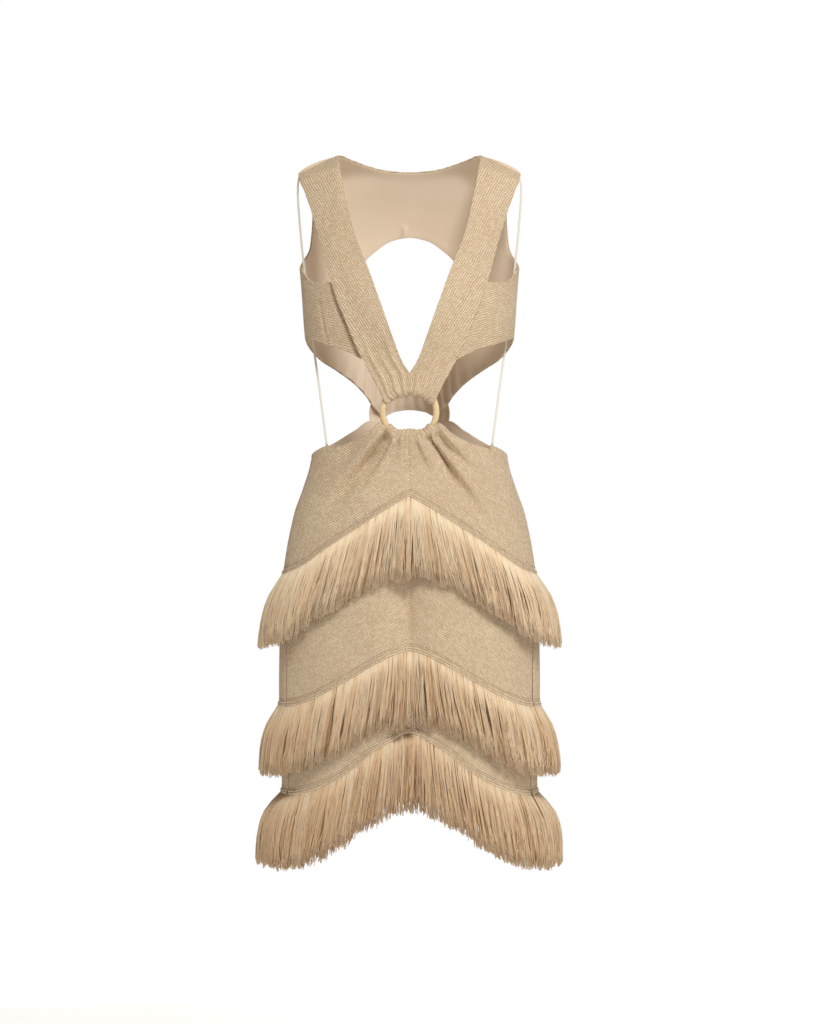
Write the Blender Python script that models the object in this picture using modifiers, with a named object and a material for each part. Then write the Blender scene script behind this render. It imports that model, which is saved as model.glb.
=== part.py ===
"""A sleeveless fringed dress in straw-coloured woven cloth, standing open as it is worn.

Two wide straps cross the chest in a deep V and loop round the top of a resin ring at the waist.
The skirt is gathered over the bottom of the same ring. The back is open from the yoke to the
waist, and three rows of long thread fringe run round the skirt.

Metres, +Z up, the front faces -Y. The origin lies midway between the two shoulder seams.
Sizes below are in millimetres. A "form" is the inner face of the outer cloth.
"""
from math import asin, cos, degrees, exp, pi, radians, sin, sqrt

import bmesh
import bpy
from mathutils import Vector

for old in list(bpy.data.objects):
    bpy.data.objects.remove(old, do_unlink=True)

MM = 0.001

# Cloth
CLOTH = 2.0  # wall of the woven cloth
LINING = 1.0
GAP = 0.3  # between pieces that meet
UNEVEN = 0.25  # more room where a curved layer is cut into flat faces
LAP = CLOTH + 0.9  # a strap lies this far out, over the bust panels that run in under it
LAP_UNDER = 13.0  # how far a side panel runs in under its strap
SQUARE = 2.2  # power of the rounded sections, 2 is an ellipse

# Ring at the waist
RING_R = 38.9  # to the middle of the tube
RING_TUBE = 4.6  # radius of the tube
RING_Z = -377.0
RING_Y = -105.0
SEAT = RING_TUBE + 0.4  # from the tube's middle to the cloth that wraps it
STRAP_ARC = (0.5, 69.0)  # degrees from the ring's top that one strap covers
SKIRT_ARC = 58.0  # degrees to each side of the ring's bottom that the skirt covers
BUNCH = 9.6  # gathered cloth inside the ring, at its middle
GATHER = 1.3  # height of one gather

# Fringe
STRIP = 7.0  # height of the woven strip that holds the threads
STRIP_WALL = 1.2
FLARE_FRONT = 6.0  # how far the tips stand off the cloth at the middle
FLARE_SIDE = 30.0  # and at the sides
SIDE_SHORTER = 0.2  # share of the flare that the side threads hang higher by
LOCK_TIP = 0.74  # width of a lock's tip in its share of the row
LOCKS_A_COLUMN_BACK = 2

# Half width of the form: height, half width
WIDTH = (
    (10, 176), (-30, 175), (-80, 171), (-130, 165), (-165, 159.5), (-207, 156), (-268, 151.5),
    (-300, 146), (-360, 134), (-400, 136), (-424, 139), (-438, 141.5), (-455, 144), (-490, 155),
    (-519, 166), (-548, 173), (-581, 179), (-613, 183.5), (-660, 188), (-720, 189), (-803, 189),
    (-932, 185.5), (-1060, 184),
)
# Depth of the form: height under the shoulder, front, back
DEPTH = (
    (0, 0, 0), (-12, 35, 34), (-24, 47, 50), (-45, 60, 62), (-85, 78, 78), (-130, 92, 88),
    (-170, 103, 91), (-217, 118, 92), (-245, 119, 90), (-272, 114, 87), (-300, 109, 85),
    (-340, 105, 84), (-380, 101, 84), (-424, 99, 87), (-460, 101, 97), (-507, 106, 108),
    (-572, 112, 121), (-613, 114, 125), (-718, 114, 122), (-803, 112, 118), (-932, 110, 115),
    (-1060, 109, 114),
)
SHOULDER_IN, SHOULDER_OUT, SHOULDER_DROP = 105.0, 163.0, 27.0

# A strap from the shoulder to the ring: inner edge x, z, outer edge x, z
STRAP = (
    (105, 0, 163, -27),
    (98.5, -34, 153, -53),
    (90, -74, 142, -81),
    (78, -121, 129, -122),
    (62, -162, 116, -170),
    (46, -206, 102, -214),
    (30, -251, 84, -258),
    (14.5, -294, 65, -303),
    (0.5, -328, 48, -336),
)
# A bust panel's edges: x, z. The last x is the side seam.
ARMHOLE_FRONT = ((90, -188), (110, -188), (138, -187.5), (147, -181), (153, -172), (159, -164))
BUST_HEM = ((45, -312), (66, -303), (75, -297), (97, -286), (118, -279), (140, -271.5), (151, -268))

# The back bodice round its egg-shaped opening: inner edge x, z, outer edge x, z
BACK = (
    (0, -115, 0, -21.5),
    (26, -120, 38, -18.5),
    (47, -133, 84, -6),
    (59, -143, 105, 0),
    (70, -155, 163, -27),
    (80, -169, 142.5, -82),
    (90, -188, 146, -131),
    (95, -206, 159.5, -164),
    (96, -224, 157, -197),
    (94, -243, 154, -232),
    (88, -263, 151.5, -268),
    (78, -284, 133, -296),
    (64, -304, 107, -313.5),
    (50, -318, 82, -332),
    (36, -329, 64.6, -350.5),
    (23, -336.5, 55, -364.5),
    (13, -340, 38, -380),
    (6, -341.5, 22, -373.6),
    (0, -342, 0, -370.6),
)
BACK_SIDE_SEAM = (7, 10)  # rows of BACK whose outer edge is the side seam

# Skirt, top edge in front outside the ring: x, z
SKIRT_TOP_FRONT = (
    (33, -397.6), (43, -393), (58, -406), (80, -420), (100, -427), (114, -430), (120, -424),
)
# Skirt, top edge from the side seam to the middle of the back: degrees round from the front, z
SKIRT_TOP_BACK = (
    (56, -424), (75, -433), (90, -438), (105, -433), (125, -423), (146, -401), (156.5, -387),
    (165.5, -387), (169, -391), (173, -398), (180, -403),
)
# Side seam: height, degrees round from the front
SIDE_SEAM = ((-424, 57), (-440, 59), (-490, 64), (-548, 67.5), (-613, 69.5), (-720, 70.5), (-1060, 70.5))
# The three fringe seams, highest in the middle: x, z
SEAMS = (
    ((0, -497), (71, -540), (120, -573), (158, -600), (188, -614)),
    ((0, -720), (41, -735), (87, -762), (122, -782), (151, -796), (175, -803), (191, -804)),
    ((0, -839), (22, -849), (52, -867), (87, -896), (117, -914), (151, -928), (173, -932), (189, -930)),
)
HEM_DROP = 14.0
THREADS = (113.0, 106.0, 113.0)  # length of the fringe in each row

# Folds that run out from the ring over the skirt: x, z at each end, half width, depth
FOLDS = (
    (-33, -404, -100, -494, 9, 5.0),
    (-13, -408, -24, -436, 5, 2.0),
    (0, -404, 0, -470, 4, 1.2),
    (15, -406, 97, -515, 9, 5.5),
    (37, -406, 92, -459, 8, 3.5),
)
VALLEY = ((-480, 0), (-560, 2), (-640, 5), (-760, 9), (-860, 12), (-1060, 13))
VALLEY_HALF = 30.0

RIBBON_R = 1.6
RIBBON_STEPS = 38
# A hanging ribbon: x, y, z
RIBBON = (
    (161.2, -1.8, -29.6), (163.7, -2, -41), (164, -2, -56), (161.8, -1, -90), (158.8, 0, -125),
    (155, 0, -160), (151, -3, -195), (142, -12, -271), (137, -22, -305), (129, -38, -362),
    (120.6, -50.9, -425.8),
)


def smooth(table, x, column=1):
    """A smooth curve through a table's rows that never overshoots them."""
    rows = table if table[0][0] < table[-1][0] else table[::-1]
    xs, ys = [r[0] for r in rows], [r[column] for r in rows]
    if x <= xs[0]:
        return ys[0]
    if x >= xs[-1]:
        return ys[-1]
    i = max(k for k in range(len(xs) - 1) if xs[k] <= x)
    slope = [(ys[k + 1] - ys[k]) / (xs[k + 1] - xs[k]) for k in range(len(xs) - 1)]

    def tangent(k):
        if k == 0 or k == len(xs) - 1:
            return slope[0] if k == 0 else slope[-1]
        a, b = slope[k - 1], slope[k]
        return 0 if a * b <= 0 else 2 * a * b / (a + b)

    h = xs[i + 1] - xs[i]
    t = (x - xs[i]) / h
    return (
        ys[i] * (1 + 2 * t) * (1 - t) ** 2
        + ys[i + 1] * t * t * (3 - 2 * t)
        + h * t * (1 - t) * (tangent(i) * (1 - t) - tangent(i + 1) * t)
    )


def along(table, s, column):
    """A value at row number s of a table."""
    return smooth([(i, r[column]) for i, r in enumerate(table)], s)


def lerp(a, b, t):
    return a + (b - a) * t


def ease(t):
    t = min(max(t, 0.0), 1.0)
    return t * t * (3 - 2 * t)


def half_width(z):
    return smooth(WIDTH, z)


def depth(x, z, back):
    slope = min(max((abs(x) - SHOULDER_IN) / (SHOULDER_OUT - SHOULDER_IN), 0), 1.2)
    under = z + SHOULDER_DROP * slope * min(max((z + 170) / 130, 0), 1)
    return smooth(DEPTH, min(under, 0), 2 if back else 1)


def round_at(angle, z, out=0.0):
    """A point of the form, angle degrees round from the front (left is negative)."""
    s, c = abs(sin(radians(angle))), cos(radians(angle))
    x = half_width(z) * s ** (2 / SQUARE) * (1 if angle % 360 <= 180 else -1)
    y = depth(x, z, c < 0) * abs(c) ** (2 / SQUARE) * (1 if c < 0 else -1)
    p = Vector((x, y, z))
    return p + outward(p) * out if out else p


def angle_of(x, z):
    """Degrees round from the front for a point of the front half."""
    return degrees(asin(min(abs(x) / half_width(z), 1.0) ** (SQUARE / 2)))


def front_at(x, z):
    return round_at(angle_of(x, z) * (1 if x >= 0 else -1), z)


def outward(p, back=None):
    """The direction straight out of the form at one of its points."""
    back = p.y > 0 if back is None else back
    angle = angle_of(p.x, p.z)
    angle = 180 - angle if back else angle
    angle = angle if p.x >= 0 else 360 - angle
    round_way = round_at(angle + 0.6, p.z - 0.1) - round_at(angle - 0.6, p.z - 0.1)
    down = round_at(angle, p.z - 1.1) - round_at(angle, p.z - 0.1)
    return down.cross(round_way).normalized()


# Objects

parts = bpy.data.collections.new("midi_dress")
bpy.context.scene.collection.children.link(parts)


def material(name, colour, roughness):
    m = bpy.data.materials.new(name)
    m.use_nodes = True
    shader = m.node_tree.nodes["Principled BSDF"]
    shader.inputs["Base Color"].default_value = (*colour, 1)
    shader.inputs["Roughness"].default_value = roughness
    shader.inputs["Metallic"].default_value = 0.0
    return m


def add(name, bm, colour, roughness=0.85):
    for v in bm.verts:
        v.co *= MM
    mesh = bpy.data.meshes.new(name)
    bm.to_mesh(mesh)
    bm.free()
    obj = bpy.data.objects.new(name, mesh)
    obj.data.materials.append(material(name, colour, roughness))
    parts.objects.link(obj)
    mesh.shade_smooth()
    mesh.set_sharp_from_angle(angle=radians(40))
    return obj


def two_triangles(bm, verts, i, j, flip=False):
    """One cell of a grid, cut along the same diagonal on every layer so that layers stay parallel."""
    a, b, c, d = verts[i][j], verts[i + 1][j], verts[i + 1][j + 1], verts[i][j + 1]
    for tri in ((a, b, c), (a, c, d)):
        bm.faces.new(tri[::-1] if flip else tri)


def surface(grid, skip=()):
    """An open surface over rows of points, without the quads named in skip."""
    bm = bmesh.new()
    verts = [[bm.verts.new(p) for p in row] for row in grid]
    for i in range(len(grid) - 1):
        for j in range(len(grid[0]) - 1):
            if (i, j) not in skip:
                two_triangles(bm, verts, i, j)
    bmesh.ops.delete(bm, geom=[v for v in bm.verts if not v.link_faces], context="VERTS")
    return bm


def moved(grid, out):
    """The same rows of points, moved straight out of their surface."""
    bm = surface(grid)
    bm.normal_update()
    ways = [v.normal.copy() for v in bm.verts]
    bm.free()
    wide = len(grid[0])
    made = []
    for i, row in enumerate(grid):
        made.append([])
        for j, p in enumerate(row):
            n = ways[i * wide + j]
            middle = abs(p.x) < 0.001
            q = p + (Vector((0, n.y, n.z)).normalized() if middle else n) * out
            made[-1].append(q)
    return made


def solidify(obj, wall):
    mod = obj.modifiers.new("wall", "SOLIDIFY")
    mod.thickness = wall * MM
    mod.offset = 1.0
    mod.use_even_offset = False
    return obj


def mirror(obj):
    mod = obj.modifiers.new("other half", "MIRROR")
    mod.use_clip = True
    mod.merge_threshold = 0.0001
    return obj


def panel(name, grid, wall, colour, whole=True):
    obj = add(name, surface(grid), colour)
    if not whole:
        mirror(obj)
    return solidify(obj, wall)


def between(name, inner, outer, colour, skip=()):
    """A wall of uneven thickness, lofted from its inner points to its outer ones."""
    bm = bmesh.new()
    sides = []
    for grid, flip in ((outer, False), (inner, True)):
        verts = [[bm.verts.new(p) for p in row] for row in grid]
        for i in range(len(grid) - 1):
            for j in range(len(grid[0]) - 1):
                if (i, j) not in skip:
                    two_triangles(bm, verts, i, j, flip)
        sides.append({v: (i, j) for i, row in enumerate(verts) for j, v in enumerate(row)})
        if flip:
            partner = verts
    out = sides[0]
    for e in [e for e in bm.edges if e.is_boundary and e.verts[0] in out]:
        loop = e.link_loops[0]
        a, b = loop.vert, loop.link_loop_next.vert
        (ia, ja), (ib, jb) = out[a], out[b]
        bm.faces.new((b, a, partner[ia][ja], partner[ib][jb]))
    bmesh.ops.delete(bm, geom=[v for v in bm.verts if not v.link_faces], context="VERTS")
    return add(name, bm, colour)


CLOTH_COLOUR = (0.60, 0.45, 0.29)
LINING_COLOUR = (0.60, 0.47, 0.32)
FRINGE_COLOUR = (0.55, 0.40, 0.24)
RING_COLOUR = (0.84, 0.70, 0.44)
RIBBON_COLOUR = (0.74, 0.70, 0.62)


# Ring

bpy.ops.mesh.primitive_torus_add(
    major_radius=RING_R * MM, minor_radius=RING_TUBE * MM, major_segments=40, minor_segments=10,
    location=(0, RING_Y * MM, RING_Z * MM), rotation=(pi / 2, 0, 0),
)
ring = bpy.context.object
ring.name = ring.data.name = "ring"
ring.data.materials.append(material("ring", RING_COLOUR, 0.3))
ring.data.shade_smooth()
for c in list(ring.users_collection):
    c.objects.unlink(ring)
parts.objects.link(ring)


def round_tube(arc, turn, top):
    """A point that wraps the ring's tube, and the direction out of the cloth there.
    arc is in degrees from the ring's top or bottom, turn in degrees from the front."""
    a, t = radians(arc), radians(turn)
    up = 1 if top else -1
    inward = Vector((-sin(a), 0, -up * cos(a)))
    middle = Vector((0, RING_Y, RING_Z)) - inward * RING_R
    way = inward * sin(t) - Vector((0, 1, 0)) * cos(t)
    return middle + way * SEAT, way


# Straps

STRAP_ROWS = (0, 0.35, 1, 2, 3, 3.5, 4, 4.5, 5, 5.5, 6, 6.5, 7, 7.5, 8)
STRAP_COLUMNS = 12
STRAP_US = [j / STRAP_COLUMNS for j in range(STRAP_COLUMNS + 1)]
TURNS = (0, 30, 60, 90, 120, 150, 180)


def strap_edge(s, u):
    x = lerp(along(STRAP, s, 0), along(STRAP, s, 2), u)
    return x, lerp(along(STRAP, s, 1), along(STRAP, s, 3), u)


def bump(j, much):
    return GATHER * much * (j % 2)


def arc_of(u):
    return lerp(*STRAP_ARC, u)


for side, tag in ((-1, "l"), (1, "r")):
    inner, outer = [], []
    for s in STRAP_ROWS:
        row_in, row_out = [], []
        for j, u in enumerate(STRAP_US):
            p = front_at(*strap_edge(s, u))
            if s == 0:
                p.y = 0
            n = outward(p, False)
            p = p + n * LAP * ease(s / 3)
            p.y = lerp(p.y, RING_Y - SEAT, ease((s - 6.5) / 2.2) * (1 - u * 0.4))
            if s == 0:
                p.y = -GAP / 2
            row_in.append(p)
            row_out.append(p + n * (CLOTH + bump(j, ease((s - 6.6) / 1.4) * 0.8)))
        inner.append(row_in)
        outer.append(row_out)
    last = inner[-1]
    row_in, row_out = [], []
    for j, u in enumerate(STRAP_US):
        p = last[j].lerp(round_tube(arc_of(u), 0, True)[0], 0.5)
        p.y = min(p.y, RING_Y - SEAT)
        row_in.append(p)
        row_out.append(p - Vector((0, CLOTH + bump(j, 1), 0)))
    inner.append(row_in)
    outer.append(row_out)
    for turn in TURNS:
        row_in, row_out = [], []
        for j, u in enumerate(STRAP_US):
            p, way = round_tube(arc_of(u), turn, True)
            bunch = lerp(BUNCH, 3.0, ease((u - 0.25) / 0.75)) - CLOTH
            row_in.append(p)
            wall = CLOTH + bunch * sin(radians(turn)) ** 2
            row_out.append(p + way * (wall + bump(j, 0.4 + 0.6 * cos(radians(turn / 2)))))
        inner.append(row_in)
        outer.append(row_out)
    for k in (0.45, 1.0):
        row_in, row_out = [], []
        for j, u in enumerate(STRAP_US):
            p = round_tube(arc_of(u), 180, True)[0].lerp(last[j], k)
            p.y = RING_Y + SEAT
            row_in.append(p)
            row_out.append(p + Vector((0, CLOTH, 0)))
        inner.append(row_in)
        outer.append(row_out)
    for grid in (inner, outer):
        for row in grid:
            for p in row:
                p.x *= side
    if side == 1:
        inner, outer = [r[::-1] for r in inner], [r[::-1] for r in outer]
    inner, outer = [r[::-1] for r in inner], [r[::-1] for r in outer]
    between("front_strap_" + tag, inner, outer, CLOTH_COLOUR)


# Bust panels, tucked under the straps

SIDE_COLUMNS, SIDE_ROWS = 8, 5
for side, tag in ((-1, "l"), (1, "r")):
    grid = []
    for i in range(SIDE_ROWS + 1):
        v = i / SIDE_ROWS
        row = []
        for j in range(SIDE_COLUMNS + 1):
            u = j / SIDE_COLUMNS
            z = lerp(-188, -300, v)
            for _ in range(5):
                under = smooth([(r[3], r[2]) for r in STRAP], z) - LAP_UNDER
                angle = lerp(angle_of(under, z), 90, u)
                x = abs(round_at(angle, z).x)
                z = lerp(smooth(ARMHOLE_FRONT, x), smooth(BUST_HEM, x), v)
            p = round_at(angle, z)
            p.y = min(p.y, -GAP / 2)
            row.append(Vector((p.x * side, p.y, p.z)))
        grid.append(row if side == 1 else row[::-1])
    panel("front_side_" + tag, grid, CLOTH, CLOTH_COLOUR)


# Back bodice and its lining

BACK_STEPS, BACK_COLUMNS = 24, 6


def along_back(s, column):
    """A value of BACK at row s. Past each end the rows run on as a mirror image, so the edges are
    level there."""
    sign = -1 if column in (0, 2) else 1
    rows = [(-1, sign * BACK[1][column])] + [(i, r[column]) for i, r in enumerate(BACK)]
    return smooth(rows + [(len(BACK), sign * BACK[-2][column])], s)


def back_grid():
    grid = []
    last = len(BACK) - 1
    for i in range(BACK_STEPS + 1):
        s = last * i / BACK_STEPS
        if abs(s - 3) < 0.4 or abs(s - 4) < 0.4:
            s = round(s)
        xi, zi, xo, zo = (along_back(s, c) for c in range(4))
        seam = BACK_SIDE_SEAM[0] <= s <= BACK_SIDE_SEAM[1]
        ai, ao = angle_of(xi, zi), 90 if seam else angle_of(xo, zo)
        row = []
        for j in range(BACK_COLUMNS + 1):
            u = j / BACK_COLUMNS
            z = lerp(zi, zo, u)
            p = round_at(180 - lerp(angle_of(lerp(xi, xo, u), z), lerp(ai, ao, u), ease((s - 5) / 2)), z)
            p.y = max(p.y, GAP / 2)
            if s in (0, last):
                p.x = 0
            row.append(p)
        grid.append(row[::-1])
    return grid


panel("bodice_back", back_grid(), CLOTH, CLOTH_COLOUR, whole=False)
lined = moved(back_grid(), -GAP - LINING - UNEVEN)
panel("bodice_back_lining", lined, LINING, LINING_COLOUR, whole=False)


# Two short tabs that join the back bodice to the skirt

TAB_FOOT = -385.9
TAB_IN, TAB_OUT = 39.0, 57.0
hem = sorted((row[0].x, row[0].z) for row in back_grid() if row[0].z < -340)


def under_hem(x):
    """The back's lower edge at x, which runs straight from row to row."""
    for (xa, za), (xb, zb) in zip(hem, hem[1:]):
        if xa <= x <= xb:
            return lerp(za, zb, (x - xa) / (xb - xa)) - 6 * GAP
    return hem[-1][1]


for side, tag in ((-1, "l"), (1, "r")):
    grid = []
    for i in range(5):
        v = i / 4
        row = []
        for j in range(5):
            x = lerp(TAB_IN, TAB_OUT, j / 4)
            tall = under_hem(x) - TAB_FOOT
            z = TAB_FOOT + tall * (1 - v)
            x += (2.2 * sin(pi * v) + 1.5 * v) * j / 4
            p = round_at(180 - angle_of(x, z), z)
            p.y += 0.1 * tall * sin(pi * v)
            row.append(Vector((p.x * side, p.y, p.z)))
        grid.append(row[::-1] if side == 1 else row)
    panel("back_tab_" + tag, grid, CLOTH, LINING_COLOUR)


# Skirt

RING_COLUMNS, PLAIN_COLUMNS = 7, 8  # to each side of the middle
RING_SHARE = 0.52  # of the front's half girth that fans out from the ring
GIRTH_AT = -720


def girth_table():
    """Share of the half girth from front to back, against degrees."""
    rows, run, last = [], 0, round_at(0, GIRTH_AT)
    for d in range(0, 181, 2):
        p = round_at(d, GIRTH_AT)
        run += (p - last).length
        rows.append((d, run))
        last = p
    return [(d, r / run) for d, r in rows]


GIRTH = girth_table()
BY_GIRTH = [(g, d) for d, g in GIRTH]


def angle_in_front(t, z):
    """t from 0 in the middle to 1 at the side seam."""
    return smooth(BY_GIRTH, abs(t) * smooth(GIRTH, smooth(SIDE_SEAM, z))) * (1 if t >= 0 else -1)


def angle_in_back(t, z):
    """t from 0 at the side seam to 1 in the middle of the back."""
    return smooth(BY_GIRTH, lerp(smooth(GIRTH, smooth(SIDE_SEAM, z)), 1, t))


def seam_height(k, angle_at, t):
    """Height of fringe seam k on the column t."""
    z = -600
    for _ in range(6):
        z = smooth(SEAMS[k], abs(round_at(angle_at(t, z), z).x))
    return z


# Rows of the skirt: from line, to line, share. Lines run top edge, then over and under each seam.
UPPER_ROWS = [(0, 1, f) for f in (0, 0.06, 0.14, 0.25, 0.4, 0.58, 0.78)]
LOWER_ROWS = [
    (1, 2, 0), (2, 3, 0), (2, 3, 0.33), (2, 3, 0.67), (3, 4, 0), (4, 5, 0), (4, 5, 0.5),
    (5, 6, 0), (6, 7, 0), (6, 7, 1),
]


def row_height(row, top, angle_at, t):
    seams = [seam_height(k, angle_at, t) for k in range(3)]
    lines = [top]
    for z in seams:
        lines += [z + STRIP / 2, z - STRIP / 2]
    lines.append(seams[2] - HEM_DROP)
    return lerp(lines[row[0]], lines[row[1]], row[2])


def fold_depth(x, z):
    """How far the folds and the valley press the front of the skirt in."""
    total = smooth(VALLEY, z) * exp(-((x / VALLEY_HALF) ** 2))
    for x0, z0, x1, z1, half, deep in FOLDS:
        way = Vector((x1 - x0, z1 - z0))
        t = (Vector((x, z)) - Vector((x0, z0))).dot(way) / way.length_squared
        near = min(max(t, 0), 1)
        off = (Vector((x, z)) - Vector((x0, z0)) - way * near).length
        total += deep * exp(-((off / half) ** 2)) * ease(t / 0.18) * (1 - near) ** 0.6
    return total


FRONT_T = [RING_SHARE * k / RING_COLUMNS for k in range(RING_COLUMNS)]
FRONT_T += [RING_SHARE + (1 - RING_SHARE) * k / PLAIN_COLUMNS for k in range(PLAIN_COLUMNS + 1)]
FRONT_T = [-t for t in FRONT_T[:0:-1]] + FRONT_T
MIDDLE = len(FRONT_T) // 2


def front_point(row, j):
    """Inner and outer point of the skirt's front at a row and a column."""
    t = FRONT_T[j]
    k, sign = abs(j - MIDDLE), 1 if j >= MIDDLE else -1
    if k <= RING_COLUMNS:
        start = round_tube(SKIRT_ARC * k / RING_COLUMNS, 0, False)[0]
        x_top, z_top = start.x, start.z
    else:
        share = (k - RING_COLUMNS) / PLAIN_COLUMNS
        x_top = lerp(33, 120, share**0.85)
        z_top = smooth(SKIRT_TOP_FRONT, x_top)
    z = row_height(row, z_top, angle_in_front, t)
    down = z_top - z
    spread = 1 - (1 - min(down / 120, 1)) ** 2
    if k > RING_COLUMNS:
        spread = lerp(spread, 1, share**2)
    x = lerp(x_top, abs(round_at(angle_in_front(t, z), z).x), spread)
    p = front_at(x * sign, z)
    n = outward(p)
    near_ring = min(max(1 - (x_top - 50) / 30, 0), 1)
    p.y = lerp(p.y, min(p.y, RING_Y - SEAT), (1 - ease(down / 55)) * near_ring)
    p -= n * fold_depth(p.x, z) * ease(down / 14)
    gather = GATHER * (k % 2) * (k < RING_COLUMNS) * (1 - ease(down / 70))
    return p, p + n * (CLOTH + gather), n


rows = UPPER_ROWS + LOWER_ROWS
inner, outer, ways = [], [], []
for row in rows:
    made = [front_point(row, j) for j in range(len(FRONT_T))]
    a, b = [m[0] for m in made], [m[1] for m in made]
    for end, sign in ((0, -1), (-1, 1)):
        n = made[end][2]
        back_way = Vector((n.y, -n.x, 0)).normalized() * GAP * 0.55
        back_way *= 1 if back_way.x * sign < 0 else -1
        a[end], b[end] = a[end] + back_way, b[end] + back_way
    inner.append(a)
    outer.append(b)
    ways.append([m[2] for m in made])
lip_in, lip_out = [], []
for turn in (180, 150, 120, 90, 60, 30):
    a, b = [], []
    for j in range(len(FRONT_T)):
        k = min(abs(j - MIDDLE), RING_COLUMNS)
        p, way = round_tube(SKIRT_ARC * k / RING_COLUMNS * (1 if j >= MIDDLE else -1), turn, False)
        bunch = lerp(BUNCH, 2.4, ease(k / RING_COLUMNS * 1.25)) - CLOTH
        gather = GATHER * (k % 2) * (k < RING_COLUMNS) * cos(radians(turn / 2))
        wall = CLOTH + bunch * sin(radians(turn)) ** 2 + gather
        a.append(p)
        b.append(p + way * wall)
    lip_in.append(a)
    lip_out.append(b)
tail_in, tail_out = [], []
for drop in (24, 10):
    tail_in.append([Vector((p.x, p.y, p.z - drop)) for p in lip_in[0]])
    tail_out.append([p + Vector((0, CLOTH, 0)) for p in tail_in[-1]])
lip_in, lip_out = tail_in + lip_in, tail_out + lip_out
skip = {(i, j) for i in range(len(lip_in)) for j in range(len(FRONT_T) - 1)
        if not MIDDLE - RING_COLUMNS <= j < MIDDLE + RING_COLUMNS}
between("skirt_front", lip_in + inner, lip_out + outer, CLOTH_COLOUR, skip)
front_outer, front_ways = outer, ways

BACK_HALF_COLUMNS = 10
BACK_T = [k / BACK_HALF_COLUMNS for k in range(BACK_HALF_COLUMNS + 1)]


def back_point(row, t):
    z = -450
    for _ in range(4):
        top = smooth(SKIRT_TOP_BACK, angle_in_back(t, max(z, -440)))
        z = row_height(row, top, angle_in_back, t)
    angle = angle_in_back(t, z)
    p = round_at(angle, z)
    n = outward(p)
    if t == 0:
        way = Vector((-n.y, n.x, 0)).normalized() * GAP * 0.55
        p += way if way.y > 0 else -way
    if t == 1:
        n = Vector((0, n.y, n.z)).normalized()
        p.x = 0
    return p, n


def skirt_back_grid(rows):
    return [[back_point(row, t)[0] for t in BACK_T] for row in rows]


panel("skirt_back", skirt_back_grid(UPPER_ROWS + LOWER_ROWS), CLOTH, CLOTH_COLOUR, whole=False)
lined = moved(skirt_back_grid(UPPER_ROWS + LOWER_ROWS[:1]), -GAP - LINING - UNEVEN)
panel("skirt_back_lining", lined, LINING, LINING_COLOUR, whole=False)


# Fringe: a strip along each seam with locks of thread hanging from its lower edge


def uneven(a, b):
    """A repeatable value from -1 to 1."""
    return sin(a * 12.9898 + b * 78.233 + 0.7) * cos(a * 4.1 - b * 2.3)


def hang(angle, z, out):
    """A point that stands off the form, level with height z."""
    p = round_at(angle, z)
    n = outward(p)
    return p + Vector((n.x, n.y, 0)).normalized() * out


def fringe(name, tops, feet, ways, angles, threads, seed):
    """tops and feet are points of the cloth's outer face along the strip's two edges."""
    bm = bmesh.new()
    count = len(tops)
    corner = [
        [bm.verts.new(p + n * out) for p, n in zip(edge, ways)]
        for edge, out in ((tops, GAP), (tops, GAP + STRIP_WALL), (feet, GAP + STRIP_WALL), (feet, GAP))
    ]
    for j in range(count - 1):
        for a, b in ((0, 1), (1, 2), (3, 0)):
            bm.faces.new((corner[a][j], corner[a][j + 1], corner[b][j + 1], corner[b][j]))
    for j in (0, count - 1):
        bm.faces.new([corner[a][j] for a in range(4)])
    # where the middle of each lock hangs, halfway down and at its tip
    levels = []
    for share, spread, thick in ((0.5, 0.7, 2.6), (1.0, 1.0, 1.8)):
        level = []
        for j in range(count - 1):
            middle = (angles[j] + angles[j + 1]) / 2
            side = abs(sin(radians(middle))) ** 3
            flare = lerp(FLARE_FRONT, FLARE_SIDE, side)
            long = threads + 4.5 * uneven(j, seed) - flare * SIDE_SHORTER * side
            z = (feet[j].z + feet[j + 1].z) / 2 - long * share
            level.append(hang(middle, z, CLOTH + GAP + 0.8 + flare * spread + thick / 2))
        levels.append((share, thick, level))
    for j in range(count - 1):
        ring_now = [corner[3][j], corner[3][j + 1], corner[2][j + 1], corner[2][j]]
        for share, thick, level in levels:
            here = level[j]
            across = level[min(j + 1, count - 2)] - level[max(j - 1, 0)]
            across /= 2 if 0 < j < count - 2 else 1
            out = Vector((across.y, -across.x, 0)).normalized()
            if out.dot(Vector((here.x, here.y, 0))) < 0:
                out = -out
            across.z *= 0.3
            width = lerp(0.86, LOCK_TIP, share) / 2
            here = here + across.normalized() * 0.9 * uneven(seed + 3, j) * share
            verts = [
                bm.verts.new(here + across * (way * width) + out * (o * thick / 2))
                for way, o in ((-1, -1), (1, -1), (1, 1), (-1, 1))
            ]
            for k in range(4):
                bm.faces.new((ring_now[k], ring_now[(k + 1) % 4], verts[(k + 1) % 4], verts[k]))
            ring_now = verts
        bm.faces.new(ring_now)
    bmesh.ops.recalc_face_normals(bm, faces=bm.faces)
    return add(name, bm, FRINGE_COLOUR)


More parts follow.
